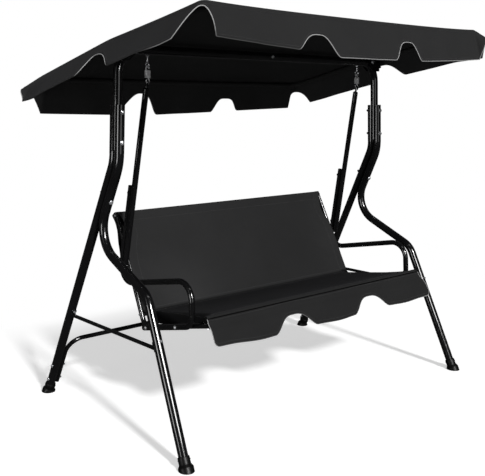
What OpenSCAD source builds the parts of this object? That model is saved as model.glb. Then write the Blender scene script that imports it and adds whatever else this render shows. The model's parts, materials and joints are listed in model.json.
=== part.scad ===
/* [Stand] */
// Distance between the left and right feet, centre to centre
foot_span = 1700; // [1500:5:1900]
// Distance from the centreline back to the rear feet
rear_foot_y = 533; // [450:1:600]
// Distance from the centreline forward to the front feet
front_foot_y = 543; // [450:1:600]
// Inward lean of each side frame, in degrees
frame_lean = 2.78; // [0:0.01:5]
// Outside diameter of the legs and the top bar
leg_d = 38; // [32:1:50]
// Wall thickness of every steel tube
wall = 1.5; // [1:0.1:3]
// Height of the top of the legs, along the side frame
leg_top = 1330; // [1200:5:1450]
// Height of the top bar's centreline
bar_z = 1545; // [1400:1:1700]
// Bend radius of the top bar's corners
bar_bend = 100; // [60:5:160]
// Diameter of the rear crossbar
crossbar_d = 20; // [16:1:28]
// Height of the rear crossbar, along the side frame
crossbar_h = 266; // [150:1:400]
// Diameter of the side braces
brace_d = 16; // [12:1:22]
// Height of the side braces, along the side frame
brace_h = 440; // [300:1:500]

/* [Swing seat] */
// Distance from the centre to each suspension eye
eye_x = 640; // [500:1:700]
// Height of the point the springs hang from
pivot_z = 1481; // [1400:1:1500]
// Diameter of the hangers and arm tubes
arm_d = 25; // [20:1:32]
// Diameter of the seat frame tubes
rail_d = 22; // [18:1:28]
// Outward splay of the hangers, in degrees
splay = 2.09; // [0:0.01:4]
// Slope of the seat rails, in degrees
rail_slope = 12.8; // [5:0.1:20]
// Lean of the backrest from vertical, in degrees
back_lean = 26.2; // [10:0.1:35]
// Half width of the fabric seat
sling_x = 640; // [560:1:650]
// Thickness of the seat fabric
sling_t = 3; // [2:0.5:5]
// Depth of the scalloped seat valance
seat_val = 132; // [80:1:180]

/* [Canopy] */
// Half width of the canopy at its top edge
can_x = 806; // [700:1:900]
// Front edge of the canopy, forward of the centreline
can_front = 606; // [500:1:700]
// Rear edge of the canopy, behind the centreline
can_rear = 566; // [450:1:650]
// Height of the canopy at its front edge
can_front_z = 1666; // [1600:1:1720]
// Height of the canopy over the top bar
can_ridge_z = 1579; // [1560:1:1620]
// Height of the canopy at its rear edge
can_rear_z = 1453; // [1380:1:1550]
// Diameter of the canopy frame tubes
hoop_d = 20; // [16:1:25]
// Depth of the hanging valance at the front and rear
can_val = 140; // [80:1:180]
// Thickness of the canopy fabric
can_t = 2.5; // [1.5:0.1:4]

/* [Hidden] */
$fn = 48;
e = 0.05;
gap = 1;                         // clearance between the paired legs
post_y = -35;                    // the top bar and its posts, front to back
pair = leg_d + gap;              // centre distance of the paired legs
half = foot_span / 2;
black = [0.03, 0.03, 0.032];
chrome = [0.82, 0.83, 0.85];
rubber = [0.05, 0.05, 0.05];
cloth = [0.19, 0.19, 0.2];
lean_s = sin(frame_lean);
lean_c = cos(frame_lean);

// ---- planar tube paths --------------------------------------------------
function unit(v) = v / norm(v);
function cross2(a, b) = a[0] * b[1] - a[1] * b[0];
function turn(p, i) = acos(max(-1, min(1, unit(p[i] - p[i - 1]) * unit(p[i + 1] - p[i]))));
function tang(p, r, i) = (i == 0 || i == len(p) - 1) ? 0 : r[i] * tan(turn(p, i) / 2);
// intersection of two lines, each a point and a direction
function meet(a, u, b, v) = a + u * (cross2(b - a, v) / cross2(u, v));
// points along a straight centreline, at distance off to its left
function side_of(u) = [-u[1], u[0]];

lap = 1.2;
function draw(d) = 0.0125 * d + 0.03;   // a bend is drawn slightly thinner than the tube
module ring_tube(d, t) {
  difference() { circle(d = d); circle(d = d - 2 * t); }
}
// bent tube in the local XY plane: corner points p, corner radii r
module tube_path(p, r, d, t) {
  for (i = [0:len(p) - 2]) {
    u = unit(p[i + 1] - p[i]);
    a = p[i] + u * tang(p, r, i);
    b = p[i + 1] - u * tang(p, r, i + 1);
    // each straight run reaches a little way over the bend beside it
    la = i == 0 ? 0 : lap;
    lb = i == len(p) - 2 ? 0 : lap;
    translate([a[0] - u[0] * la, a[1] - u[1] * la, 0]) rotate([0, 0, atan2(u[1], u[0])]) rotate([0, 90, 0])
      difference() {
        cylinder(h = norm(b - a) + la + lb, d = d);
        if (t > 0) translate([0, 0, -1]) cylinder(h = norm(b - a) + la + lb + 2, d = d - 2 * t);
      }
  }
  if (len(p) > 2) for (i = [1:len(p) - 2]) {
    u = unit(p[i] - p[i - 1]);
    v = unit(p[i + 1] - p[i]);
    s = cross2(u, v) > 0 ? 1 : -1;
    a = p[i] - u * tang(p, r, i);
    c = a + side_of(u) * s * r[i];
    a0 = atan2(a[1] - c[1], a[0] - c[0]);
    translate([c[0], c[1], 0]) rotate([0, 0, s > 0 ? a0 : a0 - turn(p, i)])
      rotate_extrude(angle = turn(p, i)) translate([r[i], 0])
        if (t > 0) ring_tube(d - draw(d), t - draw(d)); else circle(d = d - draw(d));
  }
}
// local XY plane to the YZ plane, and to the XZ plane
module yz() { rotate([90, 0, 90]) children(); }
module xz() { rotate([90, 0, 0]) children(); }
// the leaning plane of a side frame: local y and height stay, x is outward
module frame_side(s) {
  if (s > 0) translate([half, 0, 0]) rotate([0, -frame_lean, 0]) children();
  else mirror([1, 0, 0]) translate([half, 0, 0]) rotate([0, -frame_lean, 0]) children();
}
// the splayed plane of a hanger, x measured outward from the tube centres
hang_x = eye_x + tan(splay) * pivot_z;
module hang_side(s) {
  if (s > 0) translate([hang_x, 0, 0]) rotate([0, -splay, 0]) children();
  else mirror([1, 0, 0]) translate([hang_x, 0, 0]) rotate([0, -splay, 0]) children();
}
// a cylinder from point a along direction d, both [x, y, z]
module rod(a, d, h, dia) {
  translate(a) rotate([0, acos(d[2] / norm(d)), atan2(d[1], d[0])]) cylinder(h = h, d = dia);
}
// ---- fasteners, axis along +Z, underside of the head at z = 0 ------------
module dome_bolt(d, grip) {
  head = d * 1.9;
  translate([0, 0, -grip]) cylinder(h = grip + 0.5, d = d);
  cylinder(h = 1.4, d = head + 4);                       // washer
  translate([0, 0, 1.4]) intersection() {
    cylinder(h = head, d = head);
    translate([0, 0, -head * 0.5]) sphere(d = head * 1.75);
  }
}
module hex_nut(d) {
  difference() {
    union() {
      cylinder(h = d * 0.8, d = d * 1.75, $fn = 6);
      translate([0, 0, d * 0.79]) cylinder(h = d * 0.35, d = d * 1.35);
    }
    translate([0, 0, -1]) cylinder(h = d * 3, d = d + 2 * e);
  }
}

// ---- leg centrelines in the side frame plane, [y, height] ----------------
z_s = 1 / lean_c;
slope_up = [-0.496, 1];                       // the rear leg, going up
rf = [rear_foot_y, 0];
ru = unit(slope_up);
rear_top_y = post_y + pair / 2;
front_top_y = post_y - pair / 2;
rear_knee = meet(rf, ru, [rear_top_y, 0], [0, 1]);
front_in = rf + side_of(ru) * pair;           // the front leg beside the rear leg
front_knee3 = meet(front_in, ru, [front_top_y, 0], [0, 1]);
mid_u = unit([-1, -0.456]);
front_knee2 = meet([-120, 673], mid_u, front_in, ru);
low_u = unit([0.4534, 1]);
front_knee1 = meet([-front_foot_y, 0], low_u, [-120, 673], mid_u);
foot_lift = 5;                                // rubber under the tube end
rear_pts = [rf + ru * (foot_lift + leg_d * 0.5 * 0.5), rear_knee, [rear_top_y, leg_top]];
rear_rad = [0, 150, 0];
front_pts = [[-front_foot_y, 0] + low_u * (foot_lift + leg_d * 0.5 * 0.5), front_knee1, front_knee2, front_knee3, [front_top_y, leg_top]];
front_rad = [0, 100, 130, 150 + pair, 0];

crimp_lo = rear_knee[1] + 42;                 // where the legs start to hug the post
bolt_h = [leg_top - 29, leg_top - 148];       // through leg, post and leg
bolt3 = rf + ru * 1078;                       // through the two legs below
cross_bolt = [80, 160];                       // along the rear leg from the foot
cross_c = rf + ru * (crossbar_h / ru[1]);     // crossbar height on the rear leg
brace_r = rf + ru * (brace_h / ru[1]);
brace_f = [-front_foot_y, 0] + low_u * (brace_h / low_u[1]);

module leg_bolt_holes() {
  for (h = bolt_h) translate([0, post_y - 60, h]) rotate([-90, 0, 0]) cylinder(h = 120, d = 8 + 2 * e);
  at_n(bolt3, inc_n) translate([0, 0, -60]) cylinder(h = 160, d = 8 + 2 * e);
}
// the upper end of a leg is pressed to a crescent around the post
module leg(s, pts, rad) {
  n = len(pts) - 1;
  open_pts = [for (i = [0:n]) i == 0 ? pts[0] - 4 * unit(pts[1] - pts[0]) : i == n ? pts[n] + [0, 4] : pts[i]];
  difference() {
    yz() tube_path(pts, rad, leg_d, 0);
    translate([0, post_y, crimp_lo]) cylinder(h = leg_top, d = leg_d + 2 * e);
    difference() {
      yz() tube_path(open_pts, rad, leg_d - 2 * wall, 0);
      translate([0, post_y, crimp_lo - wall]) cylinder(h = leg_top, d = leg_d + 2 * e + 2 * wall);
    }
    leg_bolt_holes();
    // through holes for the brace, and for the rear crossbar
    if (s > 0) {
      at_n(brace_r, brace_nr) translate([0, 0, -50]) cylinder(h = 100, d = 6 + 2 * e);
      for (h = cross_bolt) translate([-50, (rf + ru * h)[0], (rf + ru * h)[1]]) rotate([0, 90, 0]) cylinder(h = 100, d = 6 + 2 * e);
    } else {
      at_n(brace_f, brace_nf) translate([0, 0, -50]) cylinder(h = 100, d = 6 + 2 * e);
    }
  }
}
module front_leg_left() color(black) frame_side(-1) leg(-1, front_pts, front_rad);
module front_leg_right() color(black) frame_side(1) leg(-1, front_pts, front_rad);
module rear_leg_left() color(black) frame_side(-1) leg(1, rear_pts, rear_rad);
module rear_leg_right() color(black) frame_side(1) leg(1, rear_pts, rear_rad);

// flared rubber foot, flat on the floor
module foot_cap(foot, u) {
  intersection() {
    difference() {
      translate([0, foot[0], foot[1]]) rotate([atan2(-u[0], u[1]), 0, 0]) union() {
        cylinder(h = 50, d = leg_d + 8);
        translate([0, 0, 50]) cylinder(h = 3, d1 = leg_d + 8, d2 = leg_d + 4);
        translate([0, 0, -22]) cylinder(h = 34, d = leg_d + 22);
        translate([0, 0, 12]) cylinder(h = 12, d1 = leg_d + 22, d2 = leg_d + 8);
        translate([0, 0, 38]) cylinder(h = 4, d = leg_d + 11);
      }
      translate([0, foot[0], foot[1]]) rotate([atan2(-u[0], u[1]), 0, 0])
        translate([0, 0, foot_lift + leg_d * 0.25 - e]) cylinder(h = 100, d = leg_d + 2 * e);
    }
    // the floor is level although the frame leans
    rotate([0, frame_lean, 0]) translate([-100, foot[0] - 100, 0]) cube([200, 200, 200]);
  }
}
module foot_cap_front_left() color(rubber) frame_side(-1) foot_cap([-front_foot_y, 0], low_u);
module foot_cap_front_right() color(rubber) frame_side(1) foot_cap([-front_foot_y, 0], low_u);
module foot_cap_rear_left() color(rubber) frame_side(-1) foot_cap(rf, ru);
module foot_cap_rear_right() color(rubber) frame_side(1) foot_cap(rf, ru);

// ---- top bar: two halves, the left one swaged into the right one ----------
post_lo = leg_top - 178;
function on_frame(h, x) = [half - h * lean_s + x * lean_c, h * lean_c + x * lean_s];
post_u = [-lean_s, lean_c];
bar_corner = meet(on_frame(leg_top, 0), post_u, [0, bar_z], [1, 0]);
joint_x = 34;                                  // the joining bolt
module bar_half(x_in) {
  translate([0, post_y, 0]) xz() tube_path([on_frame(post_lo, 0), bar_corner, [x_in, bar_z]], [0, bar_bend, 0], leg_d, wall);
}
module bar_holes(s) {
  // posts
  translate([half * s, 0, 0]) rotate([0, -frame_lean * s, 0]) for (h = bolt_h) translate([0, post_y - 60, h]) rotate([-90, 0, 0]) cylinder(h = 120, d = 8 + 2 * e);
  // canopy bracket, eye bolt and centre joint
  translate([735 * s, post_y - 60, bar_z]) rotate([-90, 0, 0]) cylinder(h = 120, d = 8 + 2 * e);
  translate([eye_x * s, post_y, bar_z - 60]) cylinder(h = 120, d = 8 + 2 * e);
  translate([joint_x, post_y - 60, bar_z]) rotate([-90, 0, 0]) cylinder(h = 120, d = 6 + 2 * e);
}
module top_bar_right() color(black) difference() {
  bar_half(0.5);
  bar_holes(1);
}
module top_bar_left() color(black) difference() {
  union() {
    mirror([1, 0, 0]) bar_half(0);
    translate([-20, post_y, bar_z]) rotate([0, 90, 0]) difference() {
      cylinder(h = 90, d = leg_d - 2 * wall - 2 * e);
      translate([0, 0, -1]) cylinder(h = 92, d = leg_d - 4 * wall);
    }
    // swaged shoulder
    translate([-20, post_y, bar_z]) rotate([0, 90, 0]) difference() {
      cylinder(h = 20, d = leg_d);
      translate([0, 0, -1]) cylinder(h = 22, d = leg_d - 4 * wall);
    }
  }
  bar_holes(-1);
}

// ---- rear crossbar --------------------------------------------------------
cross_off = leg_d / 2 + crossbar_d / 2 + 0.3;   // inboard of the leg
// the bar runs up the leg and turns across: worked in the plane through the
// leg direction and the x axis
leg_dir = [-lean_s * ru[1], ru[0], lean_c * ru[1]];
tilt = atan2(-ru[0], ru[1] * lean_c);
function leg_pt(h, off) = let (p = rf + ru * h) [half - p[1] * lean_s - off * lean_c, p[0], p[1] * lean_c - off * lean_s];
cross_lo = leg_pt(62, cross_off);
cross_hi = leg_pt(crossbar_h / ru[1] + 7, cross_off);
cross_len = norm([cross_hi[1] - cross_lo[1], cross_hi[2] - cross_lo[2]]);
module cross_plane() translate([0, cross_lo[1], cross_lo[2]]) rotate([atan2(cross_hi[2] - cross_lo[2], cross_hi[1] - cross_lo[1]), 0, 0]) children();
module rear_crossbar() color(black) difference() {
  cross_plane() tube_path([[-cross_lo[0], 0], [-cross_hi[0], cross_len], [cross_hi[0], cross_len], [cross_lo[0], 0]],
    [0, 75, 75, 0], crossbar_d, wall);
  for (s = [-1, 1]) frame_side(s) for (h = cross_bolt) translate([-80, (rf + ru * h)[0], (rf + ru * h)[1]]) rotate([0, 90, 0]) cylinder(h = 130, d = 6 + 2 * e);
}
module crossbar_plugs() color(rubber) for (s = [-1, 1]) scale([1, 1, 1]) {
  m = s < 0 ? 1 : 0;
  mirror([m, 0, 0]) {
    u = unit([cross_hi[0] - cross_lo[0], cross_hi[1] - cross_lo[1], cross_hi[2] - cross_lo[2]]);
    rod(cross_lo - u * 3, u, 2.9, crossbar_d);
    rod(cross_lo - u * 1, u, 9, crossbar_d - 2 * wall - 0.1);
  }
}

// ---- side braces: tube with flattened, drilled ends ------------------------
bo = leg_d / 2 + 0.3;                            // from the leg's centre to the tab
brace_nr = [-ru[1], ru[0]];                      // forward, square to the rear leg
brace_nf = [low_u[1], -low_u[0]];                // rearward, square to the front leg
tab_r = brace_r + brace_nr * (bo + 1.6);
tab_f = brace_f + brace_nf * (bo + 1.6);
module tab(c, n, up) difference() {               // plate square to n, drilled
  union() {
    at_n(c, n) translate([0, 0, -1.5]) cylinder(h = 3, d = 24);
    translate([-11, 0, 0]) yz() linear_extrude(22) polygon([c - n * 1.3, c + n * 1.3, c + n * 1.3 - up * 33, c - n * 1.3 - up * 33]);
  }
  at_n(c, n) translate([0, 0, -5]) cylinder(h = 10, d = 6 + 2 * e);
}
brace_drop = 21;                                 // from the bolt down to the tube
brace_a = tab_r - ru * brace_drop;
brace_b = tab_f - low_u * brace_drop;
brace_u = unit(brace_b - brace_a);
module brace() {
  tab(tab_r, brace_nr, ru);
  tab(tab_f, brace_nf, low_u);
  difference() {
    yz() tube_path([brace_a - brace_u * 8, brace_b + brace_u * 8], [0, 0], brace_d, wall);
    at_n(tab_r, brace_nr) translate([-30, -70, -60]) cube([60, 140, 59.6]);
    at_n(tab_f, brace_nf) translate([-30, -70, -60]) cube([60, 140, 59.6]);
  }
}
module side_brace_left() color(black) frame_side(-1) brace();
module side_brace_right() color(black) frame_side(1) brace();

// place children at [y, h] in the side plane with +Z along direction n
module at_n(c, n) translate([0, c[0], c[1]]) rotate([atan2(n[1], n[0]), 0, 0]) rotate([-90, 0, 0]) children();

wf = pair / 2 + leg_d / 2;                        // half depth of the leg pack
inc_n = [-ru[1], ru[0]];
module leg_bolts() color(chrome) for (s = [-1, 1]) frame_side(s) {
  for (h = bolt_h) translate([0, post_y - wf - 0.1, h]) rotate([90, 0, 0]) dome_bolt(8, 2 * wf + 10);
  at_n(bolt3 + inc_n * (pair + leg_d / 2 + 0.1), inc_n) dome_bolt(8, 2 * wf + 10);
}
module leg_nuts() color(chrome) for (s = [-1, 1]) frame_side(s) {
  for (h = bolt_h) translate([0, post_y + wf + 0.2, h]) rotate([-90, 0, 0]) hex_nut(8);
  at_n(bolt3 - inc_n * (leg_d / 2 + 0.2), -inc_n) hex_nut(8);
}
module crossbar_bolts() color(chrome) for (s = [-1, 1]) frame_side(s)
  for (h = cross_bolt) translate([leg_d / 2 + 0.1, (rf + ru * h)[0], (rf + ru * h)[1]]) rotate([0, 90, 0]) dome_bolt(6, leg_d + crossbar_d + 8);
module crossbar_nuts() color(chrome) for (s = [-1, 1]) frame_side(s)
  for (h = cross_bolt) translate([-cross_off - crossbar_d / 2 - 0.2, (rf + ru * h)[0], (rf + ru * h)[1]]) rotate([0, -90, 0]) hex_nut(6);
module brace_bolts() color(chrome) for (s = [-1, 1]) frame_side(s) {
  at_n(brace_r - brace_nr * (leg_d / 2 + 0.1), -brace_nr) dome_bolt(6, leg_d + 10);
  at_n(tab_f + brace_nf * 1.6, brace_nf) dome_bolt(6, leg_d + 12);
}
module brace_nuts() color(chrome) for (s = [-1, 1]) frame_side(s) {
  at_n(tab_r + brace_nr * 1.6, brace_nr) hex_nut(6);
  at_n(brace_f - brace_nf * (leg_d / 2 + 0.2), -brace_nf) hex_nut(6);
}
module bar_joint_bolt() color(chrome) translate([joint_x, post_y - leg_d / 2 - 0.1, bar_z]) rotate([90, 0, 0]) dome_bolt(6, leg_d + 8);
module bar_joint_nut() color(chrome) translate([joint_x, post_y + leg_d / 2 + 0.2, bar_z]) rotate([-90, 0, 0]) hex_nut(6);

// ---- canopy brackets and tilt hinge -----------------------------------------
tilt_z = bar_z - 17;
lug_x = 792;
module canopy_bracket() difference() {
  union() {
    for (y = [post_y - leg_d / 2 - 3.4, post_y + leg_d / 2 + 0.4]) translate([0, y + 3, 0]) xz() linear_extrude(3)
      polygon([[712, bar_z - 22], [740, bar_z - 45], [lug_x, bar_z - 45], [lug_x, bar_z - 4], [772, bar_z - 4], [762, bar_z + 17], [712, bar_z + 17]]);
    translate([lug_x - 3, post_y - leg_d / 2 - 3.4, bar_z - 45]) cube([3, leg_d + 6.8, 41]);
  }
  translate([735, post_y - 60, bar_z]) rotate([-90, 0, 0]) cylinder(h = 120, d = 8 + 2 * e);
  translate([lug_x - 20, post_y, tilt_z]) rotate([0, 90, 0]) cylinder(h = 40, d = 8 + 2 * e);
}
module canopy_bracket_right() color(black) canopy_bracket();
module canopy_bracket_left() color(black) mirror([1, 0, 0]) canopy_bracket();
module both() { children(); mirror([1, 0, 0]) children(); }
module bracket_bolts() color(chrome) both() translate([735, post_y - leg_d / 2 - 3.5, bar_z]) rotate([90, 0, 0]) dome_bolt(8, leg_d + 17);
module bracket_nuts() color(chrome) both() translate([735, post_y + leg_d / 2 + 3.6, bar_z]) rotate([-90, 0, 0]) hex_nut(8);
module tilt_bolts() color(chrome) both() translate([lug_x - 3.1, post_y, tilt_z]) rotate([0, -90, 0]) {
  translate([0, 0, -20.5]) cylinder(h = 21, d = 8);
  cylinder(h = 5, d = 14, $fn = 6);
}
module tilt_knobs() color(rubber) both() translate([lug_x + 5.2, post_y, tilt_z]) rotate([0, 90, 0]) difference() {
  union() {
    cylinder(h = 7, d = 16);
    translate([0, 0, 5]) linear_extrude(12) { circle(d = 25); for (a = [0:60:359]) rotate(a) translate([12, 0]) circle(d = 9); }
  }
  translate([0, 0, -1]) cylinder(h = 14, d = 8 + 2 * e);
}

// ---- eye bolts ------------------------------------------------------------------
eye_r = 10;
eye_wire = 7;
eye_c = pivot_z + eye_r - eye_wire / 2;     // the ring's centre; its seat is at pivot_z
module eye_bolts() color(chrome) both() translate([eye_x, post_y, 0]) {
  translate([0, 0, eye_c]) rotate([90, 0, 90]) rotate_extrude() translate([eye_r, 0]) circle(d = eye_wire);
  translate([0, 0, eye_c + eye_r - 1]) cylinder(h = bar_z + leg_d / 2 + 10 - eye_c - eye_r, d = 8);
  translate([0, 0, bar_z - leg_d / 2 - 7]) cylinder(h = 6.8, d = 14, $fn = 6);
}
module eye_nuts() color(chrome) both() translate([eye_x, post_y, bar_z + leg_d / 2 + 0.2]) difference() {
  cylinder(h = 5, d = 14, $fn = 6);
  translate([0, 0, -1]) cylinder(h = 10, d = 8 + 2 * e);
}

// ---- tension springs ---------------------------------------------------------------
wire = 4;
coil_r = 11;
turns = 5;
hook_r = 7.5;
hook_top = pivot_z + wire / 2 + e;           // centre of the wire resting in the eye
coil_hi = hook_top - 2 * hook_r - 2;
coil_pitch = 6.4;
coil_lo = coil_hi - turns * coil_pitch;
hook_bot = coil_lo - 2 - 2 * hook_r;          // centre of the wire under the lower hook
// one turn: a level half at the back and a rising half at the front
module coil_turn(z) {
  up = atan(coil_pitch / (2 * coil_r));
  translate([0, 0, z]) rotate_extrude(angle = 180) translate([coil_r, 0]) circle(d = wire);
  translate([0, 0, z + coil_pitch / 2]) rotate([0, up, 0]) rotate([0, 0, 180]) rotate_extrude(angle = 180) translate([coil_r, 0]) circle(d = wire);
}
module spring() {
  for (i = [0:turns - 1]) coil_turn(coil_lo + i * coil_pitch);
  translate([0, 0, coil_hi]) rotate_extrude(angle = 180) translate([coil_r, 0]) circle(d = wire);
  // hooks: a ring on the axis, joined to the end coil by a straight leg
  for (z = [hook_top - hook_r, hook_bot + hook_r]) translate([0, 0, z]) rotate([90, 0, 0]) rotate_extrude() translate([hook_r, 0]) circle(d = wire);
  translate([-coil_r, 0, coil_hi]) rotate([0, 90, 0]) cylinder(h = 2 * coil_r, d = wire);
  translate([-coil_r, 0, coil_lo]) rotate([0, 90, 0]) cylinder(h = 2 * coil_r, d = wire);
  for (s = [-1, 1]) translate([s * coil_r, 0, coil_lo]) sphere(d = wire);
  for (s = [-1, 1]) translate([s * coil_r, 0, coil_hi]) sphere(d = wire);
}
module spring_right() color(chrome) translate([eye_x, post_y, 0]) spring();
module spring_left() color(chrome) translate([-eye_x, post_y, 0]) spring();

// ---- hangers and arm tubes, in the splayed plane, [y, height] -------------------
hk = 0.195;                                    // slope of the hanger
eye2_r = 9;                                    // welded eye that takes the spring's lower hook
eye2_wire = 6;
eye2_c = hook_bot + wire / 2 + e + eye2_wire / 2 - eye2_r;
eye2_top = hook_bot + wire / 2 + 2 * e + eye2_wire / 2;   // its wire's centre inside the hook
hang_u = unit([hk, -1]);                       // down the hanger
hang_n = [-hang_u[1], hang_u[0]];              // rearward, square to the hanger
function hang_at(z) = [post_y + 4 + hk * (eye2_c - z), z];
hang_hi = hang_at(1392);
hang_lo = hang_at(652);
pair_bolts = [955, 700];
arm_gap = arm_d + 0.4;
arm_o = hang_at(985) + hang_n * arm_gap;       // upper end of the arm tube
rest_u = unit([-1, 0.19]);                     // armrest, rising forward
rest_p = [0, 590];
rail_u = unit([-cos(rail_slope), sin(rail_slope)]);
rail_p = [0, 393.5];
arm_k1 = meet(arm_o, hang_u, rest_p, rest_u);
arm_k2 = meet([-357, 530], unit([-0.04, -1]), rest_p, rest_u);
arm_k3 = meet([-357, 530], unit([-0.04, -1]), rail_p, rail_u);
arm_end = rail_p - rail_u * -34;
arm_pts = [arm_o, arm_k1, arm_k2, arm_k3, arm_end];
arm_rad = [0, 67, 75, 50, 0];
rail_bolt_s = [58, 270];                       // along the rail from its rear end
function rail_at(s) = rail_p + rail_u * s;
module hanger() difference() {
  union() {
    yz() tube_path([hang_hi, hang_lo], [0, 0], arm_d, wall);
    // closed head with a welded eye
    translate([0, hang_hi[0], hang_hi[1]]) rotate([atan2(hang_u[0], -hang_u[1]), 0, 0]) {
      translate([0, 0, -6]) cylinder(h = 6, d = arm_d - 0.5);
      cylinder(h = 5, d1 = arm_d, d2 = 16);
      translate([0, 0, 4]) cylinder(h = 10, d = 9);
    }
    translate([sin(splay) * (eye2_top - pivot_z), post_y, sin(splay) * tan(splay) * pivot_z + cos(splay) * eye2_top - eye2_r]) yz() rotate_extrude() translate([eye2_r, 0]) circle(d = eye2_wire);
  }
  for (z = pair_bolts) at_n(hang_at(z), hang_n) translate([0, 0, -4]) cylinder(h = 60, d = 6 + 2 * e);
}
module arm_tube() difference() {
  yz() tube_path(arm_pts, arm_rad, arm_d, wall);
  for (z = pair_bolts) at_n(hang_at(z), hang_n) translate([0, 0, -4]) cylinder(h = 60, d = 6 + 2 * e);
  for (q = rail_bolt_s) translate([-60, rail_at(q)[0], rail_at(q)[1]]) rotate([0, 90, 0]) cylinder(h = 120, d = 6 + 2 * e);
}
module hanger_left() color(black) hang_side(-1) hanger();
module hanger_right() color(black) hang_side(1) hanger();
module arm_tube_left() color(black) hang_side(-1) arm_tube();
module arm_tube_right() color(black) hang_side(1) arm_tube();
module arm_bolts() color(black) for (s = [-1, 1]) hang_side(s) for (z = pair_bolts)
  at_n(hang_at(z) + hang_n * (arm_gap + arm_d / 2 + 0.1), hang_n) dome_bolt(6, arm_gap + arm_d / 2 + 4);

// ---- seat frame: two L-shaped side tubes and three cross bars --------------------
side_off = -(arm_d / 2 + rail_d / 2 + 0.3);
back_u = [sin(back_lean), cos(back_lean)];
back_p = [19, 432.6];
side_k = meet(rail_p, rail_u, back_p, back_u);
side_top = back_p + back_u * 472;
rail_front = rail_at(450);
side_pts = [rail_front, side_k, side_top];
rear_bar_c = back_p + back_u * 12;
top_bar_c = back_p + back_u * 464;
rail_n = [rail_u[1], -rail_u[0]];             // upward, square to the rail
front_bar_c = rail_at(440) + rail_n * (rail_d + 0.2);
bar_half_x = hang_x - front_bar_c[1] * tan(splay);
front_bar_x = bar_half_x + side_off + 12;
function side_x(z) = hang_x * 1 - z * tan(splay) + side_off / cos(splay);
module side_frame() difference() {
  translate([side_off, 0, 0]) yz() tube_path(side_pts, [0, 45, 0], rail_d, wall);
  for (q = rail_bolt_s) translate([-60, rail_at(q)[0], rail_at(q)[1]]) rotate([0, 90, 0]) cylinder(h = 120, d = 6 + 2 * e);
  for (c = [rear_bar_c, top_bar_c]) translate([-60, c[0], c[1]]) rotate([0, 90, 0]) cylinder(h = 120, d = 6 + 2 * e);
}
module front_bar_hole() for (s = [-1, 1]) hang_side(s) translate([side_off, 0, 0]) at_n(rail_at(440), rail_n) translate([0, 0, -30]) cylinder(h = 80, d = 6 + 2 * e);
module side_frame_left() color(black) difference() { hang_side(-1) side_frame(); front_bar_hole(); }
module side_frame_right() color(black) difference() { hang_side(1) side_frame(); front_bar_hole(); }
module cross_tube(x, c) translate([-x, c[0], c[1]]) rotate([0, 90, 0]) difference() {
  cylinder(h = 2 * x, d = rail_d);
  translate([0, 0, -1]) cylinder(h = 2 * x + 2, d = rail_d - 2 * wall);
}
// a closed end that takes a bolt along the tube
module bar_end(x, c) for (s = [0, 1]) mirror([s, 0, 0]) translate([x - 12, c[0], c[1]]) rotate([0, 90, 0]) cylinder(h = 12, d = rail_d - wall);
module butt_bar(c) difference() {
  union() { cross_tube(side_x(c[1]) - rail_d / 2 - 1.2, c); bar_end(side_x(c[1]) - rail_d / 2 - 1.2, c); }
  for (s = [-1, 1]) hang_side(s) translate([-60, c[0], c[1]]) rotate([0, 90, 0]) cylinder(h = 120, d = 6 + 2 * e);
}
module seat_front_bar() color(black) difference() { cross_tube(front_bar_x, front_bar_c); front_bar_hole(); }
module seat_rear_bar() color(black) butt_bar(rear_bar_c);
module back_top_bar() color(black) butt_bar(top_bar_c);
module rail_bolts() color(chrome) for (s = [-1, 1]) hang_side(s) for (q = rail_bolt_s)
  translate([arm_d / 2 + 0.1, rail_at(q)[0], rail_at(q)[1]]) rotate([0, 90, 0]) dome_bolt(6, arm_d + rail_d + 8);
module rail_nuts() color(chrome) for (s = [-1, 1]) hang_side(s) for (q = rail_bolt_s)
  translate([side_off - rail_d / 2 - 0.2, rail_at(q)[0], rail_at(q)[1]]) rotate([0, -90, 0]) hex_nut(6);
module bar_bolts() color(chrome) for (s = [-1, 1]) {
  hang_side(s) for (c = [rear_bar_c, top_bar_c]) translate([side_off + rail_d / 2 + 0.1, c[0], c[1]]) rotate([0, 90, 0]) {
    translate([0, 0, -rail_d - 9]) cylinder(h = rail_d + 9.5, d = 6);
    cylinder(h = 3, d = 10, $fn = 6);
  }
  hang_side(s) translate([side_off, 0, 0]) at_n(rail_at(440) - rail_n * (rail_d / 2 + 0.1), -rail_n) {
    translate([0, 0, -2 * rail_d - 4]) cylinder(h = 2 * rail_d + 4.5, d = 6);
    cylinder(h = 3, d = 10, $fn = 6);
  }
}
// push-in end plugs: +Z is into the tube, the tube's end is at z = 0
module plug(d, deep = 8) {
  translate([0, 0, -3]) cylinder(h = 2.95, d = d);
  translate([0, 0, -1]) cylinder(h = deep + 1, d = d - 2 * wall - 2 * e);
}
module arm_plugs() color(rubber) for (s = [-1, 1]) hang_side(s) {
  at_n(arm_o, hang_u) plug(arm_d);
  at_n(arm_end, rail_u) plug(arm_d);
  at_n(hang_lo, -hang_u) plug(arm_d);
}
module frame_plugs() color(rubber) for (s = [-1, 1]) hang_side(s) translate([side_off, 0, 0]) {
  at_n(rail_front, -rail_u) plug(rail_d, 3.5);
  at_n(side_top, -back_u) plug(rail_d, 3.5);
}
module front_bar_plugs() color(rubber) for (s = [0, 1]) mirror([s, 0, 0]) translate([front_bar_x, front_bar_c[0], front_bar_c[1]]) rotate([0, -90, 0]) plug(rail_d);

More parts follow.
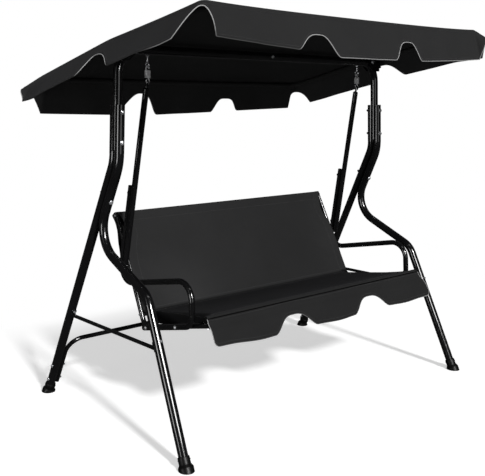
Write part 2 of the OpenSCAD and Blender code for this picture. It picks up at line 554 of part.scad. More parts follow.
// ---- fabric sling ------------------------------------------------------------------
pocket = rail_d / 2 + 0.4;
back_n = [-back_u[1], back_u[0]];              // toward the sitter
module sleeve(c) difference() {
  translate([c[0], c[1]]) circle(r = pocket + sling_t);
  translate([c[0], c[1]]) circle(r = pocket);
}
module slab(a, b, n) polygon([a + n * 0.6, b + n * 0.6, b + n * (sling_t - 0.8), a + n * (sling_t - 0.8)]);
back_lo = rear_bar_c + back_n * pocket + back_u * 3;
back_hi = top_bar_c + back_n * pocket + back_u * 4;
crease = rear_bar_c + back_n * (pocket + 1.5);
seat_hi = front_bar_c + rail_n * pocket;
seat_lo = crease + [-2.5, -1.5];
seat_u = unit(seat_hi - seat_lo);
seat_n = [seat_u[1], -seat_u[0]];
module across(x) translate([-x, 0, 0]) yz() linear_extrude(2 * x) children();
back_x = side_x(860) - rail_d / 2 - 1.5;
module back_sling() color(cloth) {
  across(back_x) sleeve(top_bar_c);
  across(back_x - 0.3) slab(back_lo, back_hi, back_n);
}
module seat_sling() color(cloth) {
  across(sling_x) sleeve(front_bar_c);
  across(sling_x - 0.3) slab(seat_lo + seat_u * 4, front_bar_c + seat_n * pocket + seat_u * 4, seat_n);
}
// scalloped lower edge: 1 at the full depth, 0 at the top of a cut-out
function dip(x, c, w) = abs(x - c) >= w ? 1 : 0.5 - 0.5 * cos(180 * pow(abs(x - c) / w, 1.5));
function val_depth(x, half_w) = let (a = abs(x)) seat_val * min(0.5 + 0.5 * dip(a, 240, 124), a > half_w - 22 ? 0.83 + 0.17 * sqrt(1 - pow((a - half_w + 22) / 22, 2)) : 1);
module seat_valance() color(cloth) translate([0, front_bar_c[0] - pocket - sling_t - 0.6, front_bar_c[1] + 8]) rotate([-15, 0, 0]) {
  w = front_bar_x + 1;
  n = 120;
  rotate([90, 0, 0]) linear_extrude(2.5) polygon(concat(
    [for (i = [0:n]) let (x = -w + 2 * w * i / n) [x, 0]],
    [for (i = [n:-1:0]) let (x = -w + 2 * w * i / n) [x * (1 + 0.05 * val_depth(x, w) / seat_val), -val_depth(x, w)]]));
}

// ---- canopy frame: two hoops joined by a hinged sleeve on each side ------------------
tube_drop = can_t + 2.6 + hoop_d / 2;
ridge = [-20, can_ridge_z - can_t - 0.7 - (hoop_d / 2 + 2.25)];
front_e = [-can_front + 13, can_front_z - 19];
rear_e = [can_rear - 13, can_rear_z - 15];
fu = unit(front_e - ridge);
ru2 = unit(rear_e - ridge);
hoop_x = can_x - 11;
// a hoop in the plane that holds the x axis and direction u from the ridge
module hoop(u, len) translate([0, ridge[0], ridge[1]]) rotate([atan2(u[1], u[0]), 0, 0])
  tube_path([[-hoop_x, 7.5], [-hoop_x, len], [hoop_x, len], [hoop_x, 7.5]], [0, 60, 60, 0], hoop_d, wall);
module canopy_front_hoop() color(black) hoop(fu, norm(front_e - ridge));
module canopy_rear_hoop() color(black) hoop(ru2, norm(rear_e - ridge));
module canopy_joint() difference() {
  union() {
    for (u = [fu, ru2]) translate([hoop_x, ridge[0], ridge[1]]) rotate([atan2(u[1], u[0]), 0, 0]) rotate([-90, 0, 0]) translate([0, 0, -5]) cylinder(h = 63, d = hoop_d + 4.5);
    // hinge lug
    translate([lug_x + 1, 0, 0]) yz() linear_extrude(4) polygon([[post_y - 17, tilt_z - 2], [post_y - 8, tilt_z - 15], [post_y + 8, tilt_z - 15], [post_y + 17, tilt_z - 2], [post_y + 34, ridge[1] - 6], [post_y - 26, ridge[1] - 2]]);
  }
  for (u = [fu, ru2]) translate([hoop_x, ridge[0], ridge[1]]) rotate([atan2(u[1], u[0]), 0, 0]) rotate([-90, 0, 0]) translate([0, 0, 7]) cylinder(h = 100, d = hoop_d + 2 * e);
  translate([lug_x - 20, post_y, tilt_z]) rotate([0, 90, 0]) cylinder(h = 60, d = 8 + 2 * e);
}
module canopy_joint_right() color(black) canopy_joint();
module canopy_joint_left() color(black) mirror([1, 0, 0]) canopy_joint();

// ---- canopy cover: a sheet over the hoops with a flared, scalloped valance -------------
// height of the sheet's outer face at y
function top_z(y) = y < ridge[0] ? can_ridge_z + (can_front_z - can_ridge_z) * (ridge[0] - y) / (ridge[0] + can_front)
                                 : can_ridge_z + (can_rear_z - can_ridge_z) * (y - ridge[0]) / (can_rear - ridge[0]);
corner_r = 45;
// point k of n round the canopy's edge, counter-clockwise from the middle of the
// front: [x, y, outward x, outward y, distance from the nearest corner]
side_y = can_front + can_rear;
mid_y = (can_rear - can_front) / 2;
nx = 32;
ny = 20;
nc = 8;
function edge_pts() = let (hx = can_x - corner_r, hy = side_y / 2 - corner_r) concat(
  [for (i = [0:nx - 1]) [-hx + 2 * hx * i / nx, -hy - corner_r, 0, -1]],
  [for (i = [0:nc - 1]) let (a = -90 + 90 * i / nc) [hx + corner_r * cos(a), -hy + corner_r * sin(a), cos(a), sin(a)]],
  [for (i = [0:ny - 1]) [hx + corner_r, -hy + 2 * hy * i / ny, 1, 0]],
  [for (i = [0:nc - 1]) let (a = 90 * i / nc) [hx + corner_r * cos(a), hy + corner_r * sin(a), cos(a), sin(a)]],
  [for (i = [0:nx - 1]) [hx - 2 * hx * i / nx, hy + corner_r, 0, 1]],
  [for (i = [0:nc - 1]) let (a = 90 + 90 * i / nc) [-hx + corner_r * cos(a), hy + corner_r * sin(a), cos(a), sin(a)]],
  [for (i = [0:ny - 1]) [-hx - corner_r, hy - 2 * hy * i / ny, -1, 0]],
  [for (i = [0:nc - 1]) let (a = 180 + 90 * i / nc) [-hx + corner_r * cos(a), -hy + corner_r * sin(a), cos(a), sin(a)]]);
edge = edge_pts();
ne = len(edge);
// share of the full depth left by the cut-outs
function cut_x(x) = dip(abs(x), 274, 102);
function cut_y(y) = dip(y, -12, 128);
function corner_cut(p) = 0.5 + 0.5 * cos(180 * min(1, min(abs(p[2]), abs(p[3])) * 1.414));
function full(p) = can_val * (0.88 + (p[3] > 0 ? 0.22 : -0.12) * p[3]);
function hang(p) = abs(p[3]) > 0.999 ? (0.52 + 0.48 * cut_x(p[0])) * full(p)
                 : abs(p[2]) > 0.999 ? (0.48 + 0.52 * cut_y(p[1])) * full(p)
                 : (0.2 + 0.8 * corner_cut(p)) * full(p);
// how far the lower edge stands out: more at the sides than at the ends
function flare(p) = abs(p[2]) * 0.85 + abs(p[3]) * 0.32;
function ring_pt(p, t) = let (d = hang(p) * t) [p[0] + p[2] * flare(p) * d, p[1] + mid_y + p[3] * flare(p) * d, top_z(p[1] + mid_y) - d];
function shift_in(p, q, d) = [q[0] - p[2] * d, q[1] - p[3] * d, q[2]];
module canopy_top() color(cloth) {
  rings = 2;
  f = 1 - 1.6 * 0.0009;
  outer = [for (r = [1:rings]) for (p = edge) let (k = r / rings, y = (p[1]) * k + mid_y) [p[0] * k, y, top_z(y)]];
  inner = [for (r = [1:rings]) for (p = edge) let (k = r / rings * f, y = (p[1]) * k + mid_y) [p[0] * k, y, top_z(y) - can_t]];
  c0 = [0, mid_y, top_z(mid_y)];
  c1 = [0, mid_y, top_z(mid_y) - can_t];
  m = rings * ne;
  polyhedron(points = concat(outer, inner, [c0, c1]), faces = concat(
    [for (j = [0:ne - 1]) [2 * m, (j + 1) % ne, j]],
    [for (r = [0:rings - 2]) for (j = [0:ne - 1]) let (a = r * ne + j, b = r * ne + (j + 1) % ne) each [[a, b, b + ne], [a, b + ne, a + ne]]],
    [for (j = [0:ne - 1]) let (a = (rings - 1) * ne + j, b = (rings - 1) * ne + (j + 1) % ne) each [[a, b, b + m], [a, b + m, a + m]]],
    [for (r = [0:rings - 2]) for (j = [0:ne - 1]) let (a = m + r * ne + j, b = m + r * ne + (j + 1) % ne) each [[b, a, a + ne], [b, a + ne, b + ne]]],
    [for (j = [0:ne - 1]) [2 * m + 1, m + j, m + (j + 1) % ne]]), convexity = 6);
}
// the valance hangs from just under the sheet
function first_t(p) = max(0.012, 2.0 / hang(p));
module canopy_valance() color(cloth) {
  rings = 2;
  outer = [for (r = [0:rings]) for (p = edge) shift_in(p, ring_pt(p, first_t(p) + (1 - first_t(p)) * r / rings), -0.6)];
  inner = [for (r = [0:rings]) for (p = edge) shift_in(p, ring_pt(p, first_t(p) + (1 - first_t(p)) * r / rings), -0.6 + can_t)];
  dn = [for (q = inner) [q[0], q[1], q[2] - (q[2] > 0 ? 1.4 : 0)]];
  m = (rings + 1) * ne;
  polyhedron(points = concat(outer, dn), faces = concat(
    [for (r = [0:rings - 1]) for (j = [0:ne - 1]) let (a = r * ne + j, b = r * ne + (j + 1) % ne) each [[a, b, b + ne], [a, b + ne, a + ne]]],
    [for (r = [0:rings - 1]) for (j = [0:ne - 1]) let (a = m + r * ne + j, b = m + r * ne + (j + 1) % ne) each [[b, a, a + ne], [b, a + ne, b + ne]]],
    [for (j = [0:ne - 1]) let (a = j, b = (j + 1) % ne) each [[b, a, a + m], [b, a + m, b + m]]],
    [for (j = [0:ne - 1]) let (a = rings * ne + j, b = rings * ne + (j + 1) % ne) each [[a, b, b + m], [a, b + m, a + m]]]), convexity = 6);
}

// the origin is on the floor under the middle of the overall bounds
module place() translate([0, 17.225, 0]) children();

place() front_leg_left();
place() front_leg_right();
place() rear_leg_left();
place() rear_leg_right();
place() foot_cap_front_left();
place() foot_cap_front_right();
place() foot_cap_rear_left();
place() foot_cap_rear_right();
place() top_bar_left();
place() top_bar_right();
place() rear_crossbar();
place() crossbar_plugs();
place() side_brace_left();
place() side_brace_right();
place() leg_bolts();
place() leg_nuts();
place() crossbar_bolts();
place() crossbar_nuts();
place() brace_bolts();
place() brace_nuts();
place() bar_joint_bolt();
place() bar_joint_nut();
place() canopy_bracket_left();
place() canopy_bracket_right();
place() bracket_bolts();
place() bracket_nuts();
place() tilt_bolts();
place() tilt_knobs();
place() eye_bolts();
place() eye_nuts();
place() spring_left();
place() spring_right();
place() hanger_left();
place() hanger_right();
place() arm_tube_left();
place() arm_tube_right();
place() arm_bolts();
place() side_frame_left();
place() side_frame_right();
place() seat_front_bar();
place() seat_rear_bar();
place() back_top_bar();
place() rail_bolts();
place() rail_nuts();
place() bar_bolts();
place() arm_plugs();
place() frame_plugs();
place() front_bar_plugs();
place() back_sling();
place() seat_sling();
place() seat_valance();
place() canopy_front_hoop();
place() canopy_rear_hoop();
place() canopy_joint_left();
place() canopy_joint_right();
place() canopy_top();
place() canopy_valance();
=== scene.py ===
"""Looks of a garden swing bench: a fabric canopy over a fabric seat hung on two springs.

Metres. The front of the bench faces -Y, its left end is at -X and the floor is z = 0.
Cloth and springs are laid out from the middle of the stand, and `build` moves them
back by STAND_Y into the frame's own axes.
"""
import json
import math
from collections import namedtuple

import bpy
import numpy as np
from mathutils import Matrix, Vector, noise


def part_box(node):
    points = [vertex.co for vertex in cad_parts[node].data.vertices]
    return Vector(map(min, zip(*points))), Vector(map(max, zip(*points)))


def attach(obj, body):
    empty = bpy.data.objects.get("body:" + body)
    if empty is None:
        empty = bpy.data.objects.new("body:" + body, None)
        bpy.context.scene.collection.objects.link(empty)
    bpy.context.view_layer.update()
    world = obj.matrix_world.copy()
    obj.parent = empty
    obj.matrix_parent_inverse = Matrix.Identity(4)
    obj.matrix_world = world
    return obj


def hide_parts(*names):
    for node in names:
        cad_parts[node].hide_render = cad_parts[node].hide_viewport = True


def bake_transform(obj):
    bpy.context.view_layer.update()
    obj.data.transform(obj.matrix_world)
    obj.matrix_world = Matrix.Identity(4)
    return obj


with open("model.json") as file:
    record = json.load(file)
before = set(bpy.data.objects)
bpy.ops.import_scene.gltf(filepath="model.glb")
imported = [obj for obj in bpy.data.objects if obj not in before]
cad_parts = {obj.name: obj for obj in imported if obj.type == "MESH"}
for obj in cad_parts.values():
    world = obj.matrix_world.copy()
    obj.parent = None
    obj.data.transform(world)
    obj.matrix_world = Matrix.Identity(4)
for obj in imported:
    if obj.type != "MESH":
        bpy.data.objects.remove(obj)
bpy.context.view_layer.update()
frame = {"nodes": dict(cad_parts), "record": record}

STAND_Y = 0.017225              # middle of the stand, behind the frame's origin
scene = bpy.context.scene

# What a piece rides on, and its material slot
CANOPY = ("canopy", "canopy_fabric")
SEAT = ("seat", "seat_fabric")
SPRING = (None, "spring_steel")

# ------------------------------------------------------------------ shader helpers
WHITE = (1, 1, 1, 1)
MIDDLE = (0.3, 0.7)             # the range most noise values fall in


class Shader:
    """Short calls for building the node tree of a material or a world."""

    def __init__(self, owner):
        owner.use_nodes = True
        self.owner = owner
        self.nodes = owner.node_tree.nodes
        self.bsdf = self.nodes.get("Principled BSDF")

    def node(self, kind, **settings):
        n = self.nodes.new(kind)
        for key, value in settings.items():
            setattr(n, key, value)
        return n

    def put(self, socket, value):
        """Link a socket, or set a plain value."""
        if isinstance(value, bpy.types.NodeSocket):
            self.owner.node_tree.links.new(value, socket)
        else:
            socket.default_value = value

    def set(self, **values):
        for key, value in values.items():
            self.put(self.bsdf.inputs[key.replace("_", " ")], value)

    def math(self, operation, *values):
        n = self.node("ShaderNodeMath", operation=operation)
        for socket, value in zip(n.inputs, values):
            self.put(socket, value)
        return n.outputs[0]

    def noise(self, vector, scale, detail=3.0, roughness=0.55):
        n = self.node("ShaderNodeTexNoise")
        n.inputs["Scale"].default_value = scale
        n.inputs["Detail"].default_value = detail
        n.inputs["Roughness"].default_value = roughness
        self.put(n.inputs["Vector"], vector)
        return n.outputs["Fac"]

    def remap(self, value, source, to):
        n = self.node("ShaderNodeMapRange")
        n.inputs["From Min"].default_value, n.inputs["From Max"].default_value = source
        n.inputs["To Min"].default_value, n.inputs["To Max"].default_value = to
        self.put(n.inputs["Value"], value)
        return n.outputs["Result"]

    def scaled(self, colour, factor):
        n = self.node("ShaderNodeVectorMath", operation="SCALE")
        self.put(n.inputs[0], colour)
        self.put(n.inputs["Scale"], factor)
        return n.outputs[0]

    def stretched(self, vector, scale):
        n = self.node("ShaderNodeMapping")
        n.inputs["Scale"].default_value = scale
        self.put(n.inputs["Vector"], vector)
        return n.outputs["Vector"]

    def bump(self, height, strength, distance, under=None):
        n = self.node("ShaderNodeBump")
        n.inputs["Strength"].default_value = strength
        n.inputs["Distance"].default_value = distance
        self.put(n.inputs["Height"], height)
        if under is not None:
            self.put(n.inputs["Normal"], under)
        return n.outputs["Normal"]

    def source(self, kind, strength):
        """A white Emission or Background node."""
        n = self.node(kind)
        n.inputs["Color"].default_value = WHITE
        n.inputs["Strength"].default_value = strength
        return n.outputs[0]

    def mix(self, factor, first, second):
        n = self.node("ShaderNodeMixShader")
        for socket, value in zip(n.inputs, (factor, first, second)):
            self.put(socket, value)
        return n.outputs[0]

    def attribute(self, name):
        return self.node("ShaderNodeAttribute", attribute_name=name).outputs["Fac"]

    def metres(self):
        """The UV map whose unit is the metre, and its separate axes."""
        uv = self.node("ShaderNodeUVMap", uv_map="metres").outputs["UV"]
        axes = self.node("ShaderNodeSeparateXYZ")
        self.put(axes.inputs[0], uv)
        return uv, axes.outputs

    def object_coords(self):
        return self.node("ShaderNodeTexCoord").outputs["Object"]


def new_material(name):
    return Shader(bpy.data.materials.new(name))


# ------------------------------------------------------------------ materials
def paint(name, base, roughness, coat):
    s = new_material(name)
    p = s.object_coords()
    cloud = s.noise(p, scale=14, detail=4)
    fine = s.noise(p, scale=420, detail=2)
    dust = s.noise(p, scale=55, detail=5, roughness=0.7)
    ripple = s.bump(fine, strength=0.03, distance=0.0004)
    s.set(Base_Color=s.scaled(base, s.remap(cloud, MIDDLE, to=(0.85, 1.25))),
          Roughness=s.math("ADD", s.remap(dust, (0.35, 0.75), to=roughness),
                           s.remap(cloud, MIDDLE, to=(-0.02, 0.04))),
          Normal=s.bump(s.noise(p, scale=60, detail=2), strength=0.03, distance=0.0009,
                        under=ripple),
          Specular_IOR_Level=0.5, Coat_Weight=coat, Coat_Roughness=0.05)
    return s.owner


def plated(name, base, roughness, streak=(260, 260, 2600), metal=0.78):
    s = new_material(name)
    grain = s.noise(s.stretched(s.object_coords(), streak), scale=1.0, detail=2)
    spot = s.noise(s.object_coords(), scale=130, detail=4)
    s.set(Base_Color=s.scaled(base, s.remap(spot, MIDDLE, to=(0.82, 1.05))),
          Roughness=s.math("ADD", s.remap(spot, (0.3, 0.75), to=roughness),
                           s.remap(grain, MIDDLE, to=(-0.03, 0.05))),
          Normal=s.bump(grain, strength=0.12, distance=0.0001),
          Metallic=metal, Specular_IOR_Level=0.8)
    return s.owner


def moulded(name, base, roughness, grain_scale, strength, gloss=0.3):
    s = new_material(name)
    p = s.object_coords()
    grain = s.noise(p, grain_scale)
    cloud = s.noise(p, scale=40, detail=4)
    s.set(Base_Color=s.scaled(base, s.remap(cloud, MIDDLE, to=(0.8, 1.35))),
          Roughness=s.remap(grain, MIDDLE, to=(roughness - 0.07, roughness + 0.09)),
          Normal=s.bump(grain, strength, distance=0.0005),
          Specular_IOR_Level=gloss)
    return s.owner


THREAD = 0.00125                # from one thread of the cloth to the next
THREAD_WANDER = 0.0006          # how far threads stray from straight
CORD_TWIST = 0.0011             # half the length of one twist of the piping


def woven(name, base, sheen, roughness=0.78, painted_shade=False):
    """Plain weave; with painted_shade set, its colour is also scaled by the painted shade and
    light in its "shade" attribute.
    """
    s = new_material(name)
    uv, axes = s.metres()
    wander = s.noise(uv, scale=70, detail=2)

    def thread_wave(axis):
        place = s.math("ADD", axis, s.math("MULTIPLY", wander, THREAD_WANDER))
        return s.math("SINE", s.math("MULTIPLY", place, math.pi / THREAD))

    a, b = thread_wave(axes[0]), thread_wave(axes[1])
    over = s.math("GREATER_THAN", s.math("MULTIPLY", a, b), 0.0)
    warp = s.math("MULTIPLY", s.math("ABSOLUTE", a), over)
    weft = s.math("MULTIPLY", s.math("ABSOLUTE", b), s.math("SUBTRACT", 1.0, over))
    height = s.math("ADD", warp, s.math("MULTIPLY", weft, 0.85))
    slub = s.noise(s.stretched(uv, (30, 900, 1)), scale=1.0, detail=2)
    cloud = s.noise(uv, scale=3.2, detail=4)
    mottle = s.noise(uv, scale=240, detail=2)
    shade = s.remap(height, (0, 1), to=(0.72, 1.15))
    for value, source, to in ((cloud, MIDDLE, (0.93, 1.08)),
                              (slub, (0.25, 0.75), (0.92, 1.08)),
                              (mottle, MIDDLE, (0.93, 1.07))):
        shade = s.math("MULTIPLY", shade, s.remap(value, source, to))
    # painted shade and light: the colour is scaled by the "shade" attribute
    if painted_shade:
        shade = s.math("MULTIPLY", shade, s.attribute("shade"))
    weave = s.bump(height, strength=0.30, distance=0.00035)
    s.set(Base_Color=s.scaled(base, shade),
          Roughness=s.remap(height, (0, 1), to=(roughness + 0.08, roughness - 0.06)),
          Normal=s.bump(s.noise(uv, scale=26), strength=0.20, distance=0.0016, under=weave),
          Specular_IOR_Level=0.035, Sheen_Weight=sheen, Sheen_Roughness=0.5,
          Sheen_Tint=(0.8, 0.8, 0.85, 1))
    return s.owner


def corded(name, dark, bright):
    """Twisted cord; its brightness follows the "tone" attribute, from its own dark colour to a
    painted highlight.
    """
    s = new_material(name)
    painted_highlight = s.attribute("painted_highlight")
    axes = s.metres()[1]
    twist = s.math("SINE", s.math("MULTIPLY", s.math("ADD", axes[0], axes[1]),
                                  math.pi / CORD_TWIST))
    blend = s.node("ShaderNodeMix", data_type="RGBA")
    s.put(blend.inputs["Factor"], painted_highlight)
    blend.inputs["A"].default_value = (*dark, 1)
    blend.inputs["B"].default_value = (*bright, 1)
    s.set(Base_Color=s.scaled(blend.outputs["Result"], s.remap(twist, (-1, 1), to=(0.82, 1.06))),
          Roughness=0.7, Specular_IOR_Level=0.3,
          Normal=s.bump(twist, strength=0.4, distance=0.0003))
    return s.owner


MATERIALS = {
    "black_paint": paint("gloss_black_paint", (0.0045, 0.0045, 0.0048),
                         roughness=(0.09, 0.20), coat=0.5),
    "black_steel": paint("satin_black_steel", (0.010, 0.010, 0.011),
                         roughness=(0.28, 0.42), coat=0.1),
    "bright_zinc": plated("bright_zinc", (0.80, 0.81, 0.83), roughness=(0.14, 0.30)),
    "spring_steel": plated("spring_steel", (0.95, 0.95, 0.96), roughness=(0.08, 0.18),
                           streak=(900, 900, 900), metal=0.35),
    "black_rubber": moulded("black_rubber", (0.0035, 0.0035, 0.0035), roughness=0.34,
                            grain_scale=500, strength=0.08, gloss=0.25),
    "black_plastic": moulded("black_plastic", (0.006, 0.006, 0.006), roughness=0.38,
                             grain_scale=900, strength=0.15),
    "canopy_outer": woven("canopy_cloth", (0.0262, 0.0262, 0.0265), sheen=0.02),
    "canopy_inner": woven("canopy_cloth_underside", (0.023, 0.023, 0.0232), sheen=0.0,
                          roughness=0.9),
    "seat_outer": woven("seat_cloth", (0.0200, 0.0200, 0.0202), sheen=0.02),
    # the sling cloth takes painted shade and light from its "shade" attribute
    "sling_outer": woven("sling_cloth", (0.0245, 0.0245, 0.0248), sheen=0.02, painted_shade=True),
    "seat_inner": woven("seat_cloth_underside", (0.010, 0.010, 0.010), sheen=0.0,
                        roughness=0.85),
    # its bright colour is painted highlight; the dark one is the cord's own
    "piping": corded("edge_piping", dark=(0.012, 0.012, 0.012), bright=(0.46, 0.46, 0.46)),
    # near-black and without shine: painted shadow along the seat valance's seam
    "painted_shadow_black": moulded("painted_seam_shadow", (0.0008, 0.0008, 0.0008), roughness=0.9,
                          grain_scale=1500, strength=0.2, gloss=0.0),
    "thread": moulded("sewing_thread", (0.055, 0.055, 0.056), roughness=0.6,
                      grain_scale=1500, strength=0.3),
}


def materials(*names):
    return [MATERIALS[name] for name in names]


def dress_frame():
    """Give each CAD piece the material of its slot; cloth pieces get the seat cloth."""
    slot_of = {s["node"]: s["material_slot"] for s in frame["record"]["subparts"]}
    for name, o in frame["nodes"].items():
        material = MATERIALS.get(slot_of[name]) or MATERIALS["seat_outer"]
        if not o.data.materials:
            o.data.materials.append(material)
        for slot in o.material_slots:
            slot.link = "OBJECT"
            slot.material = material


# ------------------------------------------------------------------ mesh helpers
def place(name, data, location=(0, 0, 0)):
    o = bpy.data.objects.new(name, data)
    o.location = location
    scene.collection.objects.link(o)
    return o


def build(name, verts, faces, mats, group, index=None, uv=None):
    """A smooth mesh object; group is the body it rides on, if any, and a slot name, which is not
    used.
    """
    me = bpy.data.meshes.new(name)
    me.from_pydata([tuple(v) for v in np.asarray(verts, float) + (0, STAND_Y, 0)], [],
                   [tuple(int(i) for i in f) for f in faces])
    for mat in mats:
        me.materials.append(mat)
    if index is not None:
        me.polygons.foreach_set("material_index", np.asarray(index, np.int32))
    me.polygons.foreach_set("use_smooth", [True] * len(me.polygons))
    if uv is not None:
        layer = me.uv_layers.new(name="metres")
        loops = np.zeros(len(me.loops), np.int32)
        me.loops.foreach_get("vertex_index", loops)
        layer.data.foreach_set("uv", np.asarray(uv, np.float32)[loops].ravel())
    me.validate()
    me.update()
    o = place(name, me)
    body, slot = group
    if body:
        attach(o, body)
    return o


def add_attribute(o, name, values):
    layer = o.data.attributes.new(name, "FLOAT", "POINT")
    layer.data.foreach_set("value", values.astype(np.float32))


def vertex_normals(verts, faces):
    normals = np.zeros_like(verts)
    faces = np.asarray(faces)
    a, b, c, d = (verts[faces[:, i]] for i in range(4))
    face_normals = np.cross(c - a, d - b)
    for i in range(4):
        np.add.at(normals, faces[:, i], face_normals)
    return normals / np.maximum(np.linalg.norm(normals, axis=1, keepdims=True), 1e-12)


def border_edges(faces):
    """Directed border edges of a quad sheet."""
    seen = {}
    for q in faces:
        for i in range(4):
            a, b = int(q[i]), int(q[(i + 1) % 4])
            if (b, a) in seen:
                del seen[(b, a)]
            else:
                seen[(a, b)] = True
    return list(seen)


def shell(name, verts, faces, uv, mats, group, thick):
    """A closed sheet: the given face, its other face `thick` behind it, and the rim.

    thick is one number, or one for each vertex.
    """
    verts = np.asarray(verts, float)
    faces = np.asarray(faces)
    thick = thick * np.ones(len(verts))
    back = verts - vertex_normals(verts, faces) * thick[:, None]
    m = len(verts)
    rim = [(b, a, a + m, b + m) for a, b in border_edges(faces)]
    both = [tuple(q) for q in faces] + [tuple(m + i for i in q[::-1]) for q in faces]
    index = [0] * len(faces) + [1] * len(faces) + [0] * len(rim)
    return build(name, np.vstack([verts, back]), both + rim, mats, group, index,
                 np.vstack([uv, uv]))


def grid_faces(rows, cols):
    corners = [r * cols + c for r in range(rows - 1) for c in range(cols - 1)]
    return np.array([(a, a + 1, a + 1 + cols, a + cols) for a in corners])


def unit(v):
    return v / np.linalg.norm(v)


def smooth01(t):
    t = np.clip(t, 0, 1)
    return t * t * (3 - 2 * t)


def wave(x, y, z, scale, seed):
    """Smooth noise in space; the seed shifts it."""
    return noise.noise(Vector((x * scale + seed, y * scale - seed * 0.7,
                               z * scale + seed * 1.3)))


def lerp(at, table):
    """Read a table of (place, value)."""
    places, values = zip(*table)
    return float(np.interp(at, places, values))


def bell(t, power):
    """0 at the top of a cut-out, 1 at its foot."""
    t = abs(t)
    return 1.0 if t >= 1 else 0.5 - 0.5 * math.cos(math.pi * t ** power)


def lengths(path):
    """Distance along a path at each of its points."""
    return np.concatenate([[0], np.cumsum(np.linalg.norm(np.diff(path, axis=0), axis=1))])


def interp_path(at, s, path):
    return np.stack([np.interp(at, s, path[:, k]) for k in range(path.shape[1])], -1)


def resample(points, step):
    path = np.asarray(points, float)
    s = lengths(path)
    count = max(2, int(round(s[-1] / step)) + 1)
    at = np.linspace(0, s[-1], count)
    return interp_path(at, s, path), at


def catmull(points, steps):
    """Catmull-Rom curve through the points, with so many steps for each span."""
    p = np.asarray(points, float)
    q = np.vstack([2 * p[0] - p[1], p, 2 * p[-1] - p[-2]])
    out = []
    for i in range(1, len(q) - 2):
        a, b, c, d = q[i - 1:i + 3]
        for t in np.linspace(0, 1, steps, endpoint=False):
            out.append(0.5 * ((2 * b) + (-a + c) * t + (2 * a - 5 * b + 4 * c - d) * t * t
                              + (-a + 3 * b - 3 * c + d) * t ** 3))
    out.append(p[-1])
    return np.array(out)


def bezier(start, leave, arrive, end):
    """Inner points of a cubic from start to end; leave and arrive are its tangents."""
    b, c = start + leave, end - arrive
    return [(1 - t) ** 3 * start + 3 * (1 - t) ** 2 * t * b + 3 * (1 - t) * t * t * c
            + t ** 3 * end for t in np.linspace(0, 1, 10)[1:-1]]


def arc_points(centre, radius, start, end, count):
    return [(centre[0] + radius * math.cos(a), centre[1] + radius * math.sin(a))
            for a in np.linspace(start, end, count)]


def sweep(points, radius, sides, closed=False):
    """Tube along points, by parallel transport. Returns vertices, faces and uv."""
    path = np.asarray(points, float)
    n = len(path)
    if closed:
        along = np.roll(path, -1, 0) - np.roll(path, 1, 0)
    else:
        along = np.zeros_like(path)
        along[1:-1] = path[2:] - path[:-2]
        along[0], along[-1] = path[1] - path[0], path[-1] - path[-2]
    along /= np.linalg.norm(along, axis=1, keepdims=True)

    def square_to(u, tangent):
        return unit(u - (u @ tangent) * tangent)

    up = np.array((0, 0, 1.0))
    if abs(up @ along[0]) > 0.95:
        up = np.array((1.0, 0, 0))
    ups = [square_to(up, along[0])]
    for tangent in along[1:]:
        ups.append(square_to(ups[-1], tangent))
    ups = np.array(ups)
    if closed:      # spread the closing twist along the loop
        u = square_to(ups[-1], along[0])
        twist = math.atan2(np.cross(u, ups[0]) @ along[0], u @ ups[0])
        for i in range(n):
            a = twist * i / n
            ups[i] = ups[i] * math.cos(a) + np.cross(along[i], ups[i]) * math.sin(a)
    across = np.cross(along, ups)
    r = np.asarray(radius, float) * np.ones(n)
    th = np.arange(sides) * 2 * math.pi / sides
    ring = (ups[:, None, :] * np.cos(th)[None, :, None]
            + across[:, None, :] * np.sin(th)[None, :, None])
    verts = (path[:, None, :] + ring * r[:, None, None]).reshape(-1, 3)
    faces = []
    for i in range(n if closed else n - 1):
        j = (i + 1) % n
        for k in range(sides):
            l = (k + 1) % sides
            faces.append((i * sides + k, i * sides + l, j * sides + l, j * sides + k))
    if not closed:
        faces.append(tuple(range(sides - 1, -1, -1)))
        faces.append(tuple((n - 1) * sides + k for k in range(sides)))
    uv = np.stack([np.repeat(lengths(path), sides), np.tile(th * float(np.mean(r)), n)], 1)
    return verts, faces, uv


def tube(name, path, radius, sides, material, group, closed=False):
    verts, faces, uv = sweep(path, radius, sides, closed)
    return build(name, verts, faces, materials(material), group, uv=uv)


PIPING_SIDES = 8


def piping(name, path, radius, painted_highlight, group, closed=False):
    """Edge cord; tone is its brightness at each point of the path, a painted highlight where it
    is bright.
    """
    o = tube(name, path, radius, PIPING_SIDES, "piping", group, closed)
    add_attribute(o, "painted_highlight", np.repeat(painted_highlight, PIPING_SIDES))


STITCH_STEP, STITCH_LENGTH, STITCH_WIDTH, STITCH_LIFT = 0.0062, 0.0042, 0.0011, 0.0004
# place along the stitch, as a share of its length, and share of its full thickness
STITCH_PROFILE = [(-0.5, 0.35), (-0.3, 0.9), (0.3, 0.9), (0.5, 0.35)]
STITCH_SIDES = 6


